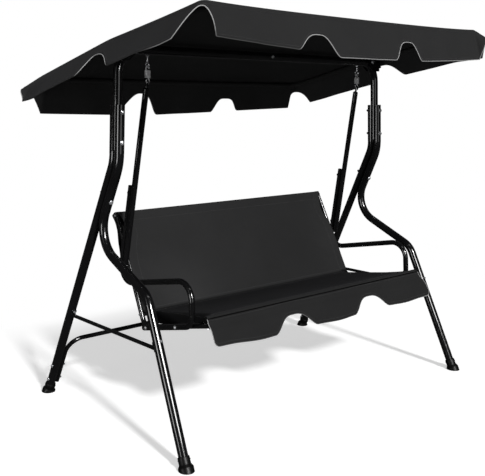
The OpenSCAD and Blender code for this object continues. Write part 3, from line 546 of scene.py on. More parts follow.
def stitches(name, path, normals, group):
    """A row of small rounded stitches lying on a path."""
    path = np.asarray(path, float)
    s = lengths(path)
    sides = STITCH_SIDES
    verts, faces = [], []
    for i in range(int(s[-1] / STITCH_STEP)):
        middle = (i + 0.5) * STITCH_STEP
        a = interp_path(middle - STITCH_LENGTH / 2, s, path)
        b = interp_path(middle + STITCH_LENGTH / 2, s, path)
        normal = unit(normals[min(int(np.searchsorted(s, middle)), len(path) - 1)])
        along = (b - a) / max(np.linalg.norm(b - a), 1e-9)
        side = np.cross(along, normal)
        base = len(verts)
        for share, full in STITCH_PROFILE:
            p = (a + b) / 2 + along * STITCH_LENGTH * share
            for k in range(sides):
                q = 2 * math.pi * k / sides
                verts.append(p + side * math.cos(q) * STITCH_WIDTH / 2 * full
                             + normal * (STITCH_LIFT * 0.5 + math.sin(q) * STITCH_LIFT * full))
        last = len(STITCH_PROFILE) - 1
        for r in range(last):
            here, after = base + r * sides, base + (r + 1) * sides
            for k in range(sides):
                l = (k + 1) % sides
                faces.append((here + k, after + k, after + l, here + l))
        faces.append(tuple(base + k for k in range(sides)))
        faces.append(tuple(base + last * sides + k for k in range(sides - 1, -1, -1)))
    build(name, verts, faces, materials("thread"), group)


# ------------------------------------------------------------------ canopy shape
HALF_X, HALF_Y = 0.806, 0.586           # half the size of the cover's top
RIDGE_Y = -0.020                        # the ridge, midway between front and rear edges
CORNER_R = 0.022
FRONT_Z, RIDGE_Z, REAR_Z = 1.666, 1.579, 1.453
VALANCE_DEPTH = 0.140                   # nominal, scales the waves of the valance
FRONT_SLOPE = (FRONT_Z - RIDGE_Z) / HALF_Y
REAR_SLOPE = (RIDGE_Z - REAR_Z) / HALF_Y
RIDGE_SOFTNESS = 0.018
STRAIGHT = 0.999                        # a normal's axis above this is off the corners

# Cut-outs of each valance panel: centre along the panel, then half width and
# power of the curve on its low side and on its high side
FRONT_CUTS = ((-0.275, (0.130, 1.5), (0.100, 1.5)), (0.262, (0.105, 1.6), (0.072, 2.2)))
REAR_CUTS = ((-0.264, (0.145, 1.0), (0.118, 1.75)), (0.291, (0.082, 1.9), (0.100, 2.3)))
LEFT_CUTS = ((0.0, (0.195, 1.2), (0.078, 1.15)),)
RIGHT_CUTS = ((-0.016, (0.125, 2.0), (0.110, 1.3)),)

# Full depth of each panel: place along it, depth
FRONT_HANG = ((-0.80, 0.118), (-0.60, 0.125), (-0.41, 0.136), (-0.17, 0.156),
              (0.15, 0.153), (0.36, 0.151), (0.78, 0.136))
REAR_HANG = ((-0.80, 0.162), (-0.40, 0.168), (-0.14, 0.168), (0.21, 0.157),
             (0.40, 0.150), (0.78, 0.140))
LEFT_HANG = ((-0.60, 0.128), (-0.36, 0.128), (-0.20, 0.134), (0.08, 0.118),
             (0.30, 0.118), (0.42, 0.126), (0.56, 0.112))
RIGHT_HANG = ((-0.60, 0.120), (-0.45, 0.108), (-0.15, 0.111), (0.10, 0.116), (0.56, 0.112))

# Depth left at the top of the cut-outs
FRONT_PEAK, LEFT_PEAK, RIGHT_PEAK = 0.076, 0.057, 0.047
REAR_LEFT_PEAK, REAR_RIGHT_PEAK = 0.064, 0.086

# Corner by sign of x and y: depth at the top of its cut, how steeply the cloth stands out
CORNER = {(-1, -1): (0.021, 0.5), (1, -1): (0.034, 0.8),
          (-1, 1): (0.054, 0.62), (1, 1): (0.050, 0.35)}


def corner_at(nx, ny):
    return CORNER[(1 if nx > 0 else -1, 1 if ny > 0 else -1)]


def top_z(x, y):
    """Two slopes that meet softly at the ridge, sagging between the hoops."""
    back = y - RIDGE_Y
    soft = RIDGE_SOFTNESS
    bend = soft * math.log1p(math.exp(-abs(back) / soft)) + max(back, 0.0)
    z = RIDGE_Z - FRONT_SLOPE * back - (REAR_SLOPE - FRONT_SLOPE) * bend
    t = min(abs(back) / HALF_Y, 1.0)
    across = max(0.0, 1 - (x / HALF_X) ** 2)
    z -= (0.017 if back < 0 else 0.013) * 4 * t * (1 - t) * across ** 0.8
    z -= 0.004 * across
    if back < 0:        # raised front corners
        z += 0.006 * (abs(x) / HALF_X) ** 5 * t ** 3
    return z


def fold(x, y):
    """Shallow tension creases and soft unevenness of the stretched cover."""
    d = 0.0016 * wave(x, y, 0, scale=3.1, seed=2.0) + 0.0007 * wave(x, y, 0, scale=9.0, seed=5.0)
    for cx in (-HALF_X, HALF_X):
        for cy in (-HALF_Y + RIDGE_Y, HALF_Y + RIDGE_Y):
            dx, dy = x - cx, y - cy
            rise = math.exp(-((math.hypot(dx, dy) - 0.16) / 0.13) ** 2)
            d += 0.0016 * rise * math.sin(math.atan2(dy, dx) * 13 + cx * 3 + cy)
    t = abs(y - RIDGE_Y) / HALF_Y
    ripple = math.sin(x * 31 + 2 * wave(x, y, 0, scale=4, seed=9))
    d += 0.0010 * math.exp(-((1 - t) / 0.16) ** 2) * ripple
    edge = min(1.0, (HALF_X - abs(x)) / 0.03) * min(1.0, (HALF_Y - abs(y - RIDGE_Y)) / 0.03)
    return d * max(edge, 0.0)


def cover_z(x, y):
    return top_z(x, y) + fold(x, y)


def cut_share(x, y, nx, ny):
    """Share of the full depth that the cut-outs leave on a straight panel."""
    if abs(ny) > STRAIGHT:
        at, cuts = x, FRONT_CUTS if ny < 0 else REAR_CUTS
    else:
        at, cuts = y, RIGHT_CUTS if nx > 0 else LEFT_CUTS
    shares = []
    for centre, low, high in cuts:
        width, power = low if at < centre else high
        shares.append(bell((at - centre) / width, power))
    return min(shares)


def hang(x, y, nx, ny):
    """Depth of the valance at a border point with outward normal nx, ny."""
    end = lerp(x, FRONT_HANG if ny < 0 else REAR_HANG)
    side = lerp(y, RIGHT_HANG if nx > 0 else LEFT_HANG)
    if abs(ny) > STRAIGHT:
        peak = FRONT_PEAK if ny < 0 else REAR_LEFT_PEAK if x < 0 else REAR_RIGHT_PEAK
        return peak + (end - peak) * cut_share(x, y, nx, ny)
    if abs(nx) > STRAIGHT:
        peak = RIGHT_PEAK if nx > 0 else LEFT_PEAK
        return peak + (side - peak) * cut_share(x, y, nx, ny)
    top = corner_at(nx, ny)[0]
    turn = math.atan2(abs(ny), abs(nx))
    full = side + (end - side) * smooth01(turn / (math.pi / 2))
    off_middle = abs(turn - math.pi / 4) / (math.pi / 4)
    return float(top + (full - top) * off_middle ** 2.6)


def outline(u, v):
    """Point of the unit square's border to x, y and normal of the rounded rectangle."""
    qx, qy = u * HALF_X, v * HALF_Y
    sx, sy = (1 if qx > 0 else -1), (1 if qy > 0 else -1)
    past_x, past_y = abs(qx) - (HALF_X - CORNER_R), abs(qy) - (HALF_Y - CORNER_R)
    on_end = abs(v) > 1 - 1e-9
    if past_x > 1e-9 and past_y > 1e-9:
        t = past_x / (2 * CORNER_R) if on_end else 1 - past_y / (2 * CORNER_R)
        th = math.radians(90 * (1 - t))
        return (sx * (HALF_X - CORNER_R + CORNER_R * math.cos(th)),
                sy * (HALF_Y - CORNER_R + CORNER_R * math.sin(th)),
                sx * math.cos(th), sy * math.sin(th))
    if on_end:
        return qx, qy, 0.0, float(sy)
    return qx, qy, float(sx), 0.0


def spread(edge, count):
    """-1 to 1 in even steps, and finer ones where the corner is rounded."""
    fine = 1 - np.linspace(0, 1, 13) * edge
    return np.concatenate([-fine[:-1], np.linspace(-1 + edge, 1 - edge, count),
                           fine[:-1][::-1]])


# Rings of the valance from the top down. "down" is metres below the cover's edge,
# "share" a share of the plain depth, "up" metres above the lower edge.
TOP_SEAM, HEM = (0.0065, 0.0105), 0.0122        # where the cloth is doubled
VALANCE_RINGS = ([("down", d) for d in (0.0018, 0.0042, 0.0066, 0.0072, 0.0098, 0.0104)]
                 + [("share", f) for f in (0.0, 0.1, 0.2, 0.3, 0.4, 0.5, 0.6, 0.7, 0.8, 0.9, 1.0)]
                 + [("up", d) for d in (0.0125, 0.0120, 0.006, 0.0)])


def valance_ring(border, kind, amount):
    out = []
    for x, y, nx, ny, turn in border:
        depth = hang(x, y, nx, ny)
        d = {"down": amount, "up": depth - amount,
             "share": 0.012 + (depth - 0.026) * amount}[kind]
        h = d / VALANCE_DEPTH
        flare = abs(nx) * 0.85 + abs(ny) * 0.31
        if abs(nx) > 1e-6 and abs(ny) > 1e-6:
            flare += corner_at(nx, ny)[1] * abs(2 * nx * ny) ** 1.5
        # the rear ends of the side panels belly out before they turn down
        rear_end = smooth01((y - 0.30) / 0.27) * abs(nx) * (1 - abs(ny))
        belly = 0.016 * math.exp(-((d - 0.052) / 0.034) ** 2) * smooth01(d / 0.02)
        o = flare * d + rear_end * belly + 0.003 * (1 - math.exp(-d / 0.004))
        o += h * (0.0035 * math.sin(17 * turn + 0.7) + 0.0022 * math.sin(29 * turn + 2.1)
                  + 0.004 * wave(x, y, d, scale=4.0, seed=7.0))
        if kind == "down" and TOP_SEAM[0] < d < TOP_SEAM[1]:
            o += 0.0009
        if kind == "up" and amount < HEM:
            o += 0.0005
        out.append((x + nx * o, y + ny * o, top_z(x, y) - d))
    return out


# ------------------------------------------------------------------ canopy pieces
def canopy_cover():
    """Top and valance in one sheet. Returns the border and the lower edge."""
    us, vs = spread(CORNER_R / HALF_X, 165), spread(CORNER_R / HALF_Y, 121)
    cols, rows = len(us), len(vs)
    verts, uvs = [], []
    for v in vs:
        for u in us:
            m = max(abs(u), abs(v))
            x = y = 0.0
            if m >= 1e-9:
                x, y = (q * m for q in outline(u / m, v / m)[:2])
            y += RIDGE_Y
            verts.append((x, y, cover_z(x, y)))
            uvs.append((x, y))
    faces = [tuple(q) for q in grid_faces(rows, cols)]

    # border loop, counter-clockwise from the front left corner
    loop = [(i, 0) for i in range(cols - 1)]
    loop += [(cols - 1, j) for j in range(rows - 1)]
    loop += [(cols - 1 - i, rows - 1) for i in range(cols - 1)]
    loop += [(0, rows - 1 - j) for j in range(rows - 1)]
    above = [j * cols + i for i, j in loop]
    points = []
    for i, j in loop:
        m = max(abs(us[i]), abs(vs[j]))
        x, y, nx, ny = outline(us[i] / m, vs[j] / m)
        points.append((x, y + RIDGE_Y, nx, ny))
    plan = np.array(points)[:, :2]
    arc = lengths(plan)
    total = arc[-1] + np.linalg.norm(plan[0] - plan[-1])
    border = [(*p, a / total * 2 * math.pi) for p, a in zip(points, arc)]

    count = len(loop)
    dropped = 0.0
    last = np.array([verts[i] for i in above])
    for kind, amount in VALANCE_RINGS:
        here = list(range(len(verts), len(verts) + count))
        ring = valance_ring(border, kind, amount)
        verts += ring
        now = np.array(ring)
        dropped = dropped + np.linalg.norm(now - last, axis=1)
        last = now
        uvs += list(zip(arc, dropped))
        for k in range(count):
            l = (k + 1) % count
            faces.append((above[k], here[k], here[l], above[l]))
        above = here
    o = shell("canopy_cover", verts, faces, np.array(uvs),
              materials("canopy_outer", "canopy_inner"), CANOPY, thick=0.0014)
    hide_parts("canopy_top", "canopy_valance")
    return border, last


def canopy_piping(border, edge):
    """Cord along the lower edge, with painted highlight: bright in the cut-outs, at some corners
    and along the right of the front.
    """
    painted_highlight = []
    for x, y, nx, ny, _ in border:
        if abs(ny) > STRAIGHT:
            low = 0.75 if ny < 0 and x > -0.20 else 0.10
            painted_highlight.append(max(min(1.0, (1 - cut_share(x, y, nx, ny)) * 4), low))
        elif abs(nx) > STRAIGHT:
            front_end = 0.8 * smooth01((-y - 0.40) / 0.12)
            painted_highlight.append(max(min(1.0, (1 - cut_share(x, y, nx, ny)) * 4), 0.06, front_end))
        else:
            painted_highlight.append(min(1.0, 0.3 + min(abs(nx), abs(ny)) * 1.414 * 2.5))
    painted_highlight = np.array(painted_highlight)
    soften = np.array([1, 2, 3, 2, 1.0]) / 9
    painted_highlight = np.convolve(np.concatenate([painted_highlight[-2:], painted_highlight, painted_highlight[:2]]), soften, "valid")
    piping("canopy_piping", edge + np.array((0, 0, -0.0004)), 0.0017, painted_highlight, CANOPY, closed=True)


def canopy_stitches(border):
    """One row of stitches below the top edge and one in the hem."""
    normals = np.array([(nx * 0.7, ny * 0.9, 0.5) for _, _, nx, ny, _ in border])
    for name, kind, amount in (("canopy_seam_stitches", "down", 0.0135),
                               ("canopy_hem_stitches", "up", 0.0095)):
        path = np.array(valance_ring(border, kind, amount)) + normals * 0.0004
        stitches(name, np.vstack([path, path[:1]]), np.vstack([normals, normals[:1]]), CANOPY)


def canopy_sleeves():
    """Fabric sleeves, sewn under the cover, that the two hoops run through."""
    half, bend = HALF_X - 0.011, 0.060      # half width and corner radius of a hoop
    pivot_z = RIDGE_Z - 0.0009 - 0.0007 - 0.01225
    start, mid = 0.066, 0.30                # along each leg, from the pivot
    angles = np.radians(np.arange(10, 91, 10))
    for tag, y, z in (("front", RIDGE_Y - HALF_Y + 0.013, FRONT_Z - 0.019),
                      ("rear", RIDGE_Y + HALF_Y - 0.013, REAR_Z - 0.015)):
        reach = np.array((y - RIDGE_Y, z - pivot_z))
        out = unit(reach)
        length = math.hypot(*reach)
        # the hoop in its own plane: x, distance from the pivot
        flat = [(-half, start), (-half, mid), (-half, length - bend)]
        flat += [(-half + bend - bend * math.cos(a), length - bend + bend * math.sin(a))
                 for a in angles]
        flat += [(x, length) for x in np.linspace(-half + bend, half - bend, 30)[1:]]
        flat += [(half - bend + bend * math.sin(a), length - bend + bend * math.cos(a))
                 for a in angles]
        flat += [(half, mid), (half, start)]
        path = [(x, RIDGE_Y + out[0] * b, pivot_z + out[1] * b)
                for x, b in resample(flat, 0.012)[0]]
        radius = np.array([0.0113 + 0.0004 * wave(*p, scale=22, seed=4) for p in path])
        tube("canopy_sleeve_" + tag, path, radius, 20, "canopy_inner", CANOPY)


def ridge_seam():
    """Flat seam over the ridge, sewn with two rows."""
    xs = np.linspace(-HALF_X + 0.004, HALF_X - 0.004, 220)

    def row(dy, up):
        return [(x, RIDGE_Y + dy, cover_z(x, RIDGE_Y + dy) + up) for x in xs]

    # from the ridge, above the cover
    section = ((-0.0085, -0.0004), (-0.0080, 0.0006), (0.0, 0.0008),
               (0.0080, 0.0006), (0.0085, -0.0004))
    verts = np.array([row(dy, up) for dy, up in section]).reshape(-1, 3)
    shell("canopy_ridge_seam", verts, grid_faces(len(section), len(xs)), verts[:, :2],
          materials("canopy_outer", "canopy_inner"), CANOPY, thick=0.0009)
    up = np.tile((0, 0, 1.0), (len(xs), 1))
    for tag, dy in (("a", -0.0062), ("b", 0.0062)):
        stitches("canopy_ridge_stitches_" + tag, row(dy, 0.0009), up, CANOPY)


def make_canopy():
    border, edge = canopy_cover()
    canopy_piping(border, edge)
    canopy_stitches(border)
    canopy_sleeves()
    ridge_seam()


# ------------------------------------------------------------------ seat sling
def bar_centre(node):
    lo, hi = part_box(node)
    return np.array(((lo.y + hi.y) / 2 - STAND_Y, (lo.z + hi.z) / 2))


FRONT_BAR, REAR_BAR, TOP_BAR = (
    bar_centre(n) for n in ("seat_front_bar", "seat_rear_bar", "back_top_bar"))
POCKET_R = 0.0140               # outer radius of a fabric pocket over a seat tube
CREASE_R = 0.022                # between back and seat
SLING_COLS = 121
FLAP_HALF, BACK_TOP_HALF = 0.655, 0.637
# Half width of the back: z, half width
BACK_HALF = ((0.44, 0.650), (0.60, 0.652), (0.66, 0.650), (0.70, 0.642), (0.735, 0.629),
             (0.762, 0.615), (0.785, 0.613), (0.83, 0.625), (0.865, 0.637))
# Loose flap behind the back, from its free lower end: y, z
FLAP = [(0.187, 0.662), (0.187, 0.70), (0.199, 0.742), (0.211, 0.785), (0.222, 0.82)]

# Distances along the sling's profile at which its parts end
Marks = namedtuple("Marks", "flap back crease seat")


def angle(v):
    return math.atan2(v[1], v[0])


def sling_profile():
    """Side view (y, z) from the flap to the front pocket, its distances and marks."""
    up_back = unit(TOP_BAR - REAR_BAR)
    to_sitter = np.array((-up_back[1], up_back[0]))
    crease = REAR_BAR + to_sitter * 0.0165
    forward = unit(FRONT_BAR - crease)
    upward = np.array((forward[1], -forward[0]))
    forward = unit((FRONT_BAR + upward * POCKET_R) - (crease + upward * 0.001))
    upward = np.array((forward[1], -forward[0]))
    down = -up_back

    back_top, seat_front = TOP_BAR + to_sitter * POCKET_R, FRONT_BAR + upward * POCKET_R
    sides = np.array([[down[0], -forward[0]], [down[1], -forward[1]]])
    drop = np.linalg.solve(sides, (crease + upward * 0.002) - back_top)[0]
    meet = back_top + down * drop
    cut = CREASE_R * math.tan(math.acos(np.clip(down @ forward, -1, 1)) / 2)
    back_end, seat_start = meet - down * cut, meet + forward * cut
    centre = back_end + to_sitter * CREASE_R
    back_length = np.linalg.norm(back_end - back_top)
    seat_length = np.linalg.norm(seat_front - seat_start)
    pocket = (TOP_BAR[0] + POCKET_R, TOP_BAR[1])
    steps = np.linspace(0, 1, 60)
    seat_angle = angle(upward)

    path = list(catmull(FLAP + [pocket], 10)[:-1])
    path += arc_points(TOP_BAR, POCKET_R, 0.0, angle(to_sitter), 22)
    path += [back_top + down * back_length * t for t in steps[1:-1]]
    path += arc_points(centre, CREASE_R, angle(back_end - centre), angle(seat_start - centre), 12)
    path += [seat_start + forward * seat_length * t for t in steps[1:]]
    path += arc_points(FRONT_BAR, POCKET_R, seat_angle, seat_angle + math.radians(250), 30)[1:]
    profile, s = resample(path, 0.0065)
    spots = (pocket, back_top, centre + unit(meet - centre) * CREASE_R, seat_front)
    marks = Marks(*(s[int(np.argmin(np.linalg.norm(profile - np.asarray(q), axis=1)))]
                    for q in spots))
    return profile, s, marks


def sling_half_width(s, z, marks):
    if s <= marks.flap:
        return FLAP_HALF + 0.004 * math.sin(s / marks.flap * 7)
    if s <= marks.back:
        f = (s - marks.flap) / (marks.back - marks.flap)
        return FLAP_HALF - (FLAP_HALF - BACK_TOP_HALF) * f
    if s <= marks.crease:
        return lerp(z, BACK_HALF)
    f = (s - marks.crease) / (marks.seat - marks.crease)
    return 0.640 + 0.018 * smooth01(min(f, 1.0))


def sling_offset(x, y, z, u, s, marks):
    """How far the cloth stands off its straight profile, towards the sitter."""
    off = 0.0
    taut = 1 - abs(u) ** 4
    if s <= marks.flap:                         # loose waves
        f = 1 - s / marks.flap
        off += f * (0.010 * math.sin(x * 9 + 0.5) + 0.006 * math.sin(x * 23 + 2.0)
                    + 0.005 * wave(x, y, z, scale=6, seed=3))
        off -= f * 0.012 * abs(u) ** 8
    elif marks.back < s < marks.crease:         # the back sags
        f = (s - marks.back) / (marks.crease - marks.back)
        hump = f * (1 - f)
        off -= 0.010 * 4 * hump * taut
        off += 0.0018 * wave(x, y, z, scale=4.2, seed=1) * min(1, 6 * hump)
        off += 0.0007 * wave(x, y, z, scale=13, seed=4)
        # upright bands of slanting pulls near both side edges
        off += (0.0016 * math.exp(-((abs(x) - 0.56) / 0.07) ** 2) * math.sin(z * 70 + x * 25)
                * min(1, 5 * hump))
    elif marks.crease <= s < marks.seat:        # the seat sags, its sides turn down
        f = (s - marks.crease) / (marks.seat - marks.crease)
        hump = f * (1 - f)
        off -= 0.013 * 4 * hump * taut
        off += 0.0016 * wave(x, y, z, scale=4.6, seed=8) * min(1, 6 * hump)
        off += 0.0008 * wave(x, y, z, scale=15, seed=6)
        edge = smooth01((abs(x) - 0.592) / 0.058)
        off -= 0.046 * edge * smooth01(f * 6) * smooth01((1 - f) * 6)
    elif s >= marks.seat:
        off += 0.0005 * wave(x, y, z, scale=30, seed=6)
    if abs(s - marks.crease) < 0.0075:
        off -= 0.0022
    return off


def back_painted_light(x, z):
    """Painted light: the back is a little paler to its left and by its lower edge."""
    shade = 0.88 + 0.16 * float(smooth01((0.25 - x) / 0.6))
    low = float(smooth01((0.76 - z) / 0.25))
    shade += 0.30 * math.exp(-((x + 0.42) / 0.17) ** 2) * low
    return shade + 0.08 * float(smooth01((x - 0.45) / 0.15))


def sling_painted_shade(x, z, s, marks):
    """Painted shade and light: the seat is dark, and paler towards its front edge."""
    f = (s - marks.crease) / (marks.seat - marks.crease)
    if f < -0.02:
        return back_painted_light(x, z)
    shade = (0.15 + 0.85 * (1 - smooth01((f + 0.02) / 0.04))
             + 0.25 * smooth01((f - 0.74) / 0.20) + 0.55 * smooth01((f - 0.94) / 0.06))
    # painted shade where the sides of the seat turn down
    if -0.02 < f < 0.97:
        shade *= 1 - 0.55 * smooth01((abs(x) - 0.595) / 0.02)
    return shade


def sling_stitches(grid, normals, s, marks):
    """Rows in both side hems, under the top pocket, by the crease, behind the front roll."""
    def row_at(where):
        return int(np.argmin(abs(s - where)))

    lifted = grid + normals * 0.0003
    rows = slice(row_at(marks.flap), row_at(marks.seat), 2)
    for side, j in (("left", 4), ("right", SLING_COLS - 5)):
        stitches("sling_hem_stitches_" + side, lifted[rows, j], normals[rows, j], SEAT)
    for tag, where in (("top_pocket", marks.back + 0.030), ("crease_a", marks.crease - 0.011),
                       ("crease_b", marks.crease + 0.011), ("front_pocket", marks.seat - 0.022)):
        i = row_at(where)
        stitches("sling_%s_stitches" % tag, lifted[i, 2:-2], normals[i, 2:-2], SEAT)


def make_sling():
    profile, s, marks = sling_profile()
    tangent = np.gradient(profile, axis=0)
    tangent /= np.linalg.norm(tangent, axis=1, keepdims=True)
    outward = np.stack([tangent[:, 1], -tangent[:, 0]], 1)
    shape = (len(profile), SLING_COLS)
    us = np.linspace(-1, 1, SLING_COLS)
    verts, uv, shade = np.zeros((*shape, 3)), np.zeros((*shape, 2)), np.ones(shape)
    for i, (y, z) in enumerate(profile):
        half = sling_half_width(s[i], z, marks)
        for j, u in enumerate(us):
            x = half * u
            off = sling_offset(x, y, z, u, s[i], marks)
            verts[i, j] = (x, y + outward[i, 0] * off, z + outward[i, 1] * off)
            uv[i, j] = (x, s[i])
            shade[i, j] = sling_painted_shade(x, z, s[i], marks)

    # hems: the cloth is doubled along its side edges
    hem = 0.65 * (1 - abs(us)) < 0.022
    lift, thick = np.zeros(shape), np.full(shape, 0.0016)
    lift[:, hem] = 0.0008
    thick[:, hem] = 0.0026
    verts = verts.reshape(-1, 3)
    faces = grid_faces(*shape)[:, ::-1]         # facing the sitter
    verts = verts + vertex_normals(verts, faces) * lift.reshape(-1, 1)
    o = shell("seat_sling_cover", verts, faces, uv.reshape(-1, 2),
              materials("sling_outer", "seat_inner"), SEAT, thick.reshape(-1))
    # painted shade and light on the top face; the underside gets none
    add_attribute(o, "shade", np.concatenate([shade.ravel(), np.ones(shade.size)]))
    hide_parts("back_sling", "seat_sling")
    normals = vertex_normals(verts, faces).reshape(*shape, 3)
    sling_stitches(verts.reshape(*shape, 3), normals, s, marks)


# ------------------------------------------------------------------ seat valance
SKIRT_HALF, SKIRT_DEPTH = 0.662, 0.134
SKIRT_COLS = 331
SKIRT_START = 0.0022            # first row, along the profile
SKIRT_END_R = 0.022             # rounding of the lower outer corners
# Rows from the top, of the same kinds as the canopy's rings
SKIRT_ROWS = ([("down", d) for d in (0, 0.0015, 0.003, 0.0034, 0.0068, 0.0072)]
              + [("share", f) for f in np.linspace(0, 1, 18)]
              + [("up", d) for d in (0.0125, 0.0120, 0.006, 0.0)])


def skirt_cut(a):
    """Share of depth left by the cut-outs, at distance a from the middle."""
    return bell((a - 0.240) / 0.124, 1.5)


def skirt_grid():
    seam = FRONT_BAR + np.array((-0.0102, 0.0114))
    # y, z down the front of the skirt
    profile, s = resample(catmull([
        seam + (0.002, 0.0010), seam, seam + (-0.0048, -0.009), seam + (-0.0125, -0.026),
        (-0.4660, 0.474), (-0.4800, 0.440), (-0.4965, 0.395), (-0.503, 0.378)], 12), 0.002)
    verts = np.zeros((len(SKIRT_ROWS), SKIRT_COLS, 3))
    uv = np.zeros((len(SKIRT_ROWS), SKIRT_COLS, 2))
    for j, u in enumerate(np.linspace(-1, 1, SKIRT_COLS)):
        x0 = u * SKIRT_HALF
        a = abs(x0)
        full = SKIRT_DEPTH * (0.5 + 0.5 * skirt_cut(a))
        full *= 1 - 0.10 * smooth01((-x0 - 0.30) / 0.35)
        if a > SKIRT_HALF - SKIRT_END_R:
            q = (a - SKIRT_HALF + SKIRT_END_R) / SKIRT_END_R
            full *= 0.86 + 0.14 * math.sqrt(max(0.0, 1 - q * q))
        for i, (kind, v) in enumerate(SKIRT_ROWS):
            d = {"down": v, "up": full - v, "share": 0.0085 + (full - 0.0085 - 0.0128) * v}[kind]
            y, z = interp_path(d + SKIRT_START, s, profile)
            h = d / SKIRT_DEPTH
            spreading = smooth01(h * 1.15)
            x = x0 * (1 + 0.026 * spreading * min(1, a / 0.5) ** 2) + 0.020 * spreading
            out = h * (0.0050 * math.sin(x * 13 + 0.9) + 0.003 * math.sin(x * 27 + 1.0)
                       + 0.003 * wave(x, y, z, scale=5, seed=2))
            out -= 0.004 * max(0.0, (a - 0.60) / 0.06) ** 2 * min(1, h * 2)
            if kind == "up" and v < HEM:
                out += 0.0005
            if kind == "down" and v < 0.0033:
                out += 0.0009
            verts[i, j] = (x, y - out * 0.92, z - out * 0.2)
            uv[i, j] = (x, d)
    return verts, uv


def make_seat_valance():
    grid, uv = skirt_grid()
    faces = grid_faces(len(SKIRT_ROWS), SKIRT_COLS)[:, ::-1]        # facing the front
    o = shell("seat_valance_cover", grid.reshape(-1, 3), faces, uv.reshape(-1, 2),
              materials("seat_outer", "seat_inner"), SEAT, thick=0.0014)
    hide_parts("seat_valance")

    # piping down both ends and along the scallops, with painted highlight, brightest at the ends
    path = np.vstack([grid[4:-1, 0], grid[-1], grid[4:-1, -1][::-1]])
    path, _ = resample(path, 0.004)
    painted_highlight = []
    for a in abs(path[:, 0]):
        cut = 1 - skirt_cut(a / 1.03)
        painted_highlight.append(max(0.85 * smooth01((a - 0.640) / 0.016), 0.30 * min(1, cut * 3), 0.16))
    piping("seat_valance_piping", path + np.array((0, 0.0004, -0.0004)), 0.0015,
           np.array(painted_highlight), SEAT)
    # a near-black cord along the seam: painted shadow of its groove
    tube("seat_valance_painted_seam_shadow", grid[4] + np.array((0, -0.0008, 0.0004)), 0.0019, 8,
         "painted_shadow_black", SEAT)
    normals = np.tile((0, -0.95, 0.3), (SKIRT_COLS, 1))
    for tag, row in (("seam", 7), ("hem", -3)):
        stitches("seat_valance_%s_stitches" % tag, grid[row] + normals * 0.0004, normals, SEAT)


# ------------------------------------------------------------------ springs
WIRE_R, COIL_R, HOOK_R, TURNS = 0.0019, 0.0112, 0.0075, 5.5
HOOK_GAP = 0.0035               # height between a hook and the coil
COIL_START = math.pi
COIL_END = COIL_START + TURNS * 2 * math.pi
TOP_HOOK = (-40, 235)           # degrees, first and last
BOTTOM_HOOK = (55, -220)


def make_spring(node):
    """Coil with a hook at each end, as long as the CAD piece it stands for."""
    lo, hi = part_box(node)
    cx, cy = (lo.x + hi.x) / 2, (lo.y + hi.y) / 2 - STAND_Y
    top, bottom = hi.z - WIRE_R, lo.z + WIRE_R
    coil_top = top - 2 * HOOK_R - HOOK_GAP
    coil_bottom = bottom + 2 * HOOK_R + HOOK_GAP

    def hook(ends, z):
        return np.array([(HOOK_R * math.cos(a), 0.0, z + HOOK_R * math.sin(a))
                         for a in np.radians(np.linspace(*ends, 26))])

    def coil_tangent(a):
        return np.array((-math.sin(a), math.cos(a), -0.12)) * 0.010

    def hook_tangent(degrees, way):
        a = math.radians(degrees)
        return np.array((-math.sin(a), 0, math.cos(a))) * 0.006 * way

    upper = hook(TOP_HOOK, top - HOOK_R)
    lower = hook(BOTTOM_HOOK, bottom + HOOK_R)
    coil = []
    for t in np.linspace(0, 1, int(TURNS * 28)):
        a = COIL_START + t * TURNS * 2 * math.pi
        coil.append((COIL_R * math.cos(a), COIL_R * math.sin(a),
                     coil_top + (coil_bottom - coil_top) * t))
    coil = np.array(coil)
    path = np.vstack([
        upper,
        bezier(upper[-1], hook_tangent(TOP_HOOK[1], 1), coil_tangent(COIL_START), coil[0]),
        coil,
        bezier(coil[-1], coil_tangent(COIL_END), hook_tangent(BOTTOM_HOOK[0], -1), lower[0]),
        lower])
    o = tube(node + "_coil", path + np.array((cx, cy, 0)), WIRE_R, 12, "spring_steel", SPRING)
    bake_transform(o)
    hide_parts(node)


# ------------------------------------------------------------------ stage, light, camera
FLOOR_SIZE = 120
FLOOR_GLOW = 0.56               # added to the floor the camera sees
AMBIENT = 0.10                  # world light on matt surfaces
REFLECTED = 0.03                # world light in reflections
KEY = 3.0
# Lit panels that only reflections see: name, location, target, width, height, strength
CARDS = (
    ("card_front", (-1.0, -6.2, 3.75), (-0.5, 0, 1.2), 1.9, 2.6, 20.0),
    ("card_low", (-1.0, -6.2, 1.4), (-0.5, 0, 1.2), 3.2, 1.9, 1.2),
    ("card_left", (-6.0, -0.4, 2.0), (0, 0, 1.0), 0.5, 3.6, 1.2),
    ("card_top", (-0.4, -2.6, 5.0), (0, 0, 1.0), 3.0, 0.5, 2.2),
)


def aim(o, target):
    o.rotation_euler = (Vector(target) - o.location).to_track_quat("-Z", "Y").to_euler()


def panel(name, width, height, location=(0, 0, 0)):
    w, h = width / 2, height / 2
    me = bpy.data.meshes.new(name)
    me.from_pydata([(-w, -h, 0), (w, -h, 0), (w, h, 0), (-w, h, 0)], [], [(0, 1, 2, 3)])
    return place(name, me, location)


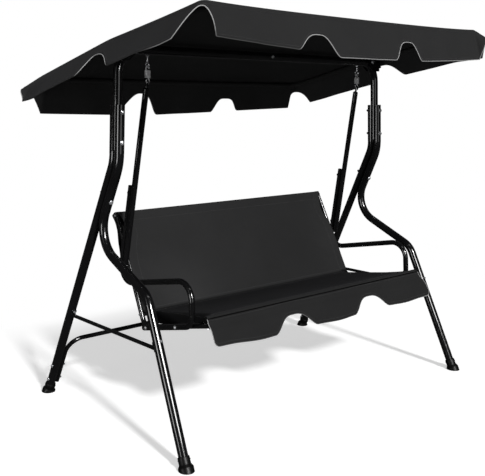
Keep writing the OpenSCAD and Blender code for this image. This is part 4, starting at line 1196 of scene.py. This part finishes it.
def floor_material():
    """The camera sees a bright floor that runs out into the white background.

    The bench is lit by a duller one, so that its tubes stay black.
    """
    s = new_material("pale_floor")
    axes = s.node("ShaderNodeSeparateXYZ")
    s.put(axes.inputs[0], s.object_coords())
    distance = s.node("ShaderNodeVectorMath", operation="LENGTH")
    s.put(distance.inputs[0], s.object_coords())
    fade = s.math("MAXIMUM", s.remap(distance.outputs["Value"], (1.9, 2.9), to=(0.0, 1.0)),
                  s.remap(axes.outputs[1], (1.15, 1.7), to=(0.0, 1.0)))
    ray = s.node("ShaderNodeLightPath").outputs["Is Camera Ray"]
    s.set(Roughness=0.9, Specular_IOR_Level=0.0, Base_Color=(0.80, 0.80, 0.80, 1))
    bright = s.node("ShaderNodeAddShader")
    s.put(bright.inputs[0], s.bsdf.outputs[0])
    s.put(bright.inputs[1], s.source("ShaderNodeEmission", FLOOR_GLOW))
    seen = s.mix(fade, bright.outputs[0], s.source("ShaderNodeEmission", 1.0))
    dull = s.node("ShaderNodeBsdfDiffuse")
    dull.inputs["Color"].default_value = (0.45, 0.45, 0.45, 1)
    s.put(s.nodes["Material Output"].inputs[0], s.mix(ray, dull.outputs[0], seen))
    return s.owner


def make_floor():
    floor = panel("floor", FLOOR_SIZE, FLOOR_SIZE)
    floor.data.materials.append(floor_material())
    floor.visible_glossy = False


def make_world():
    """White to the camera, dim to the bench, dimmer still in reflections."""
    scene.world = bpy.data.worlds.new("studio")
    s = Shader(scene.world)
    s.nodes.clear()
    out = s.node("ShaderNodeOutputWorld")
    ray = s.node("ShaderNodeLightPath").outputs
    lit = s.mix(ray["Is Glossy Ray"], s.source("ShaderNodeBackground", AMBIENT),
                s.source("ShaderNodeBackground", REFLECTED))
    s.put(out.inputs[0], s.mix(ray["Is Camera Ray"], lit, s.source("ShaderNodeBackground", 1.0)))


def make_lights():
    key = bpy.data.lights.new("key", "SUN")
    key.energy = KEY
    key.angle = math.radians(5)
    aim(place("key", key), (0.28, 1.6, -1.0))
    fill = bpy.data.lights.new("fill_left", "AREA")
    fill.energy = 46
    fill.size = 1.6
    aim(place("fill_left", fill, (-5.5, -0.6, 0.9)), (0, 0, 1.0))


def make_card(name, location, target, width, height, strength):
    o = panel(name, width, height, location)
    aim(o, target)
    s = new_material(name)
    s.put(s.nodes["Material Output"].inputs[0], s.source("ShaderNodeEmission", strength))
    o.data.materials.append(s.owner)
    o.visible_camera = o.visible_diffuse = o.visible_shadow = o.visible_transmission = False


def make_camera():
    data = bpy.data.cameras.new("camera")
    data.sensor_width = 36
    data.lens = 57.5599175
    camera = place("camera", data, (-2.45126, -2.68968 + STAND_Y, 1.32708))
    camera.rotation_euler = (math.radians(90 - 9.718), 0, math.radians(-41.139))
    scene.camera = camera


dress_frame()
make_canopy()
make_sling()
make_seat_valance()
for side in ("left", "right"):
    make_spring("spring_" + side)

make_floor()
make_world()
make_lights()
for card in CARDS:
    make_card(*card)
make_camera()
scene.view_settings.view_transform = "Standard"
scene.view_settings.look = "None"
